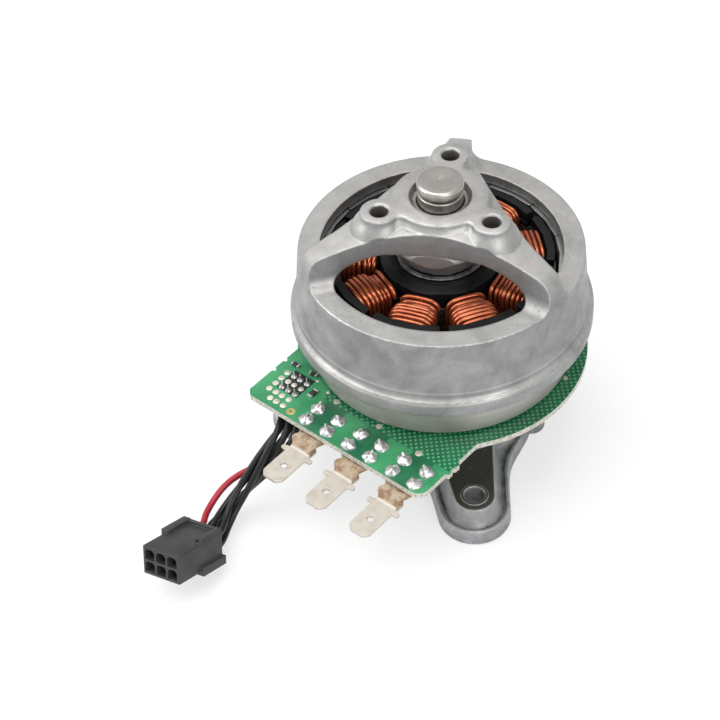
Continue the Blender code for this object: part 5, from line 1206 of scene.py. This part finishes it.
plug = {"length": 16.6, "width": 11.6, "height": 7.7, "cavity": (3.05, 2.85), "cut": 0.7, "depth": 9.0,
        "pitch": (3.55, 3.3), "railLength": 8.8, "railWidth": 1.5, "railHeight": 0.9, "slot": 0.9}


def makePlug(values):
    long, wide, high = values["length"], values["width"], values["height"]
    bm = bmesh.new()
    boxInto(bm, (long, wide, high), (0.0, 0.0, 0.0), None, 0.4, 4)
    piece = meshPiece("plugBody", bm)
    rail, rise, run = values["railWidth"], values["railHeight"], values["railLength"]
    section = rail + rise
    for side in (1.0, -1.0):
        joinBox(piece, "rail", (run, section, section), (
            (long - run) / 2 + 0.2, side * (wide / 2 + rise - section / 2),
            side * (high / 2 + rise - section / 2)), None, 0.22, 3)
    joinBox(piece, "topWall", (run, rail, 2.0 * rise), ((long - run) / 2 + 0.1, 0.1 - (wide - rail) / 2, high / 2),
            None, 0.15, 3)
    joinBox(piece, "topBack", (1.0, wide - 2.0 * rail + 1.0, 2.0 * rise), (long / 2 - 0.5, 0.0, high / 2 - 0.1), None,
            0.12, 3)
    bm = bmesh.new()
    boxInto(bm, (2.0, values["slot"], values["slot"]),
            (long / 2 - run, 0.1 - (wide - rail) / 2, high / 2 + rise - 0.15))
    (across, up), (pitchY, pitchZ), cut = values["cavity"], values["pitch"], values["cut"]
    across, up = across / 2, up / 2
    for column in (-1.0, 0.0, 1.0):
        for row in (-0.5, 0.5):
            outline = ((-across, -up), (across, -up), (across, up - cut), (across - cut, up), (cut - across, up),
                       (-across, up - cut))
            loftInto(bm, [[Vector((x, column * pitchY + y * grow, row * pitchZ + z * grow)) * mm for y, z in outline]
                          for x, grow in ((values["depth"] - long / 2, 0.94), (0.15 - long / 2, 1.0),
                                          (-1.0 - long / 2, 1.1))])
    joinWith(piece, meshPiece("plugCuts", bm))
    piece.data.transform(plugFrame)
    settled(piece, "stator", "charcoal_plastic", charcoal, "plug_housing")


makePlug(plug)
print("plug made")


# studio: pale floor, pale surroundings and three soft lamps

studio = {"floorSize": 6.0, "floor": (0.93, 0.93, 0.93, 1), "shadowShare": 0.6, "ambient": 0.6,
          "aim": (0.0, -0.01, 0.04),
          "lamps": (("overhead", (-0.15, -0.1, 0.95), 0.9, 7.0), ("leftFront", (-0.75, -0.65, 0.55), 0.6, 5.0),
                    ("rightFront", (0.85, -0.35, 0.6), 0.6, 4.0))}


def makeStudio(values):
    half = values["floorSize"] / 2
    bm = bmesh.new()
    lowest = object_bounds()[0].z - 0.0002
    corners = [bm.verts.new((x, y, lowest)) for x, y in ((-half, -half), (half, -half), (half, half), (-half, half))]
    bm.faces.new(corners)
    floor = meshPiece("studioFloor", bm)
    floor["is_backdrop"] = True
    finish, tree, shader = newFinish("paleFloor", Base_Color=values["floor"], Roughness=0.9, Specular_IOR_Level=0.1)
    glow = node(tree, "ShaderNodeEmission", {"Color": (1, 1, 1, 1), "Strength": 1.0})
    path = node(tree, "ShaderNodeLightPath")
    seen = maths(tree, "MAXIMUM", path.outputs["Is Camera Ray"], path.outputs["Is Glossy Ray"])
    both = node(tree, "ShaderNodeMixShader", {0: maths(tree, "MULTIPLY", seen, values["shadowShare"])})
    tree.links.new(shader.outputs[0], both.inputs[1])
    tree.links.new(glow.outputs[0], both.inputs[2])
    tree.links.new(both.outputs[0], tree.nodes["Material Output"].inputs["Surface"])
    floor.data.materials.append(finish)

    world = bpy.data.worlds.new("studioRoom")
    bpy.context.scene.world = world
    world.use_nodes = True
    tree = world.node_tree
    back = tree.nodes["Background"]
    back.inputs["Color"].default_value = (1.0, 1.0, 1.0, 1.0)
    path = node(tree, "ShaderNodeLightPath")
    seen = maths(tree, "MAXIMUM", path.outputs["Is Camera Ray"], path.outputs["Is Transmission Ray"])
    tree.links.new(remap(tree, seen, 0.0, 1.0, values["ambient"], 1.0), back.inputs["Strength"])

    for name, place, size, power in values["lamps"]:
        lamp = bpy.data.lights.new(name, "AREA")
        lamp.shape = "SQUARE"
        lamp.size = size
        lamp.energy = power
        holder = placed(name, lamp)
        holder.location = place
        holder.rotation_euler = (Vector(values["aim"]) - Vector(place)).to_track_quat("-Z", "Y").to_euler()
    bpy.context.scene.view_settings.view_transform = "Standard"


makeStudio(studio)
print("studio set")
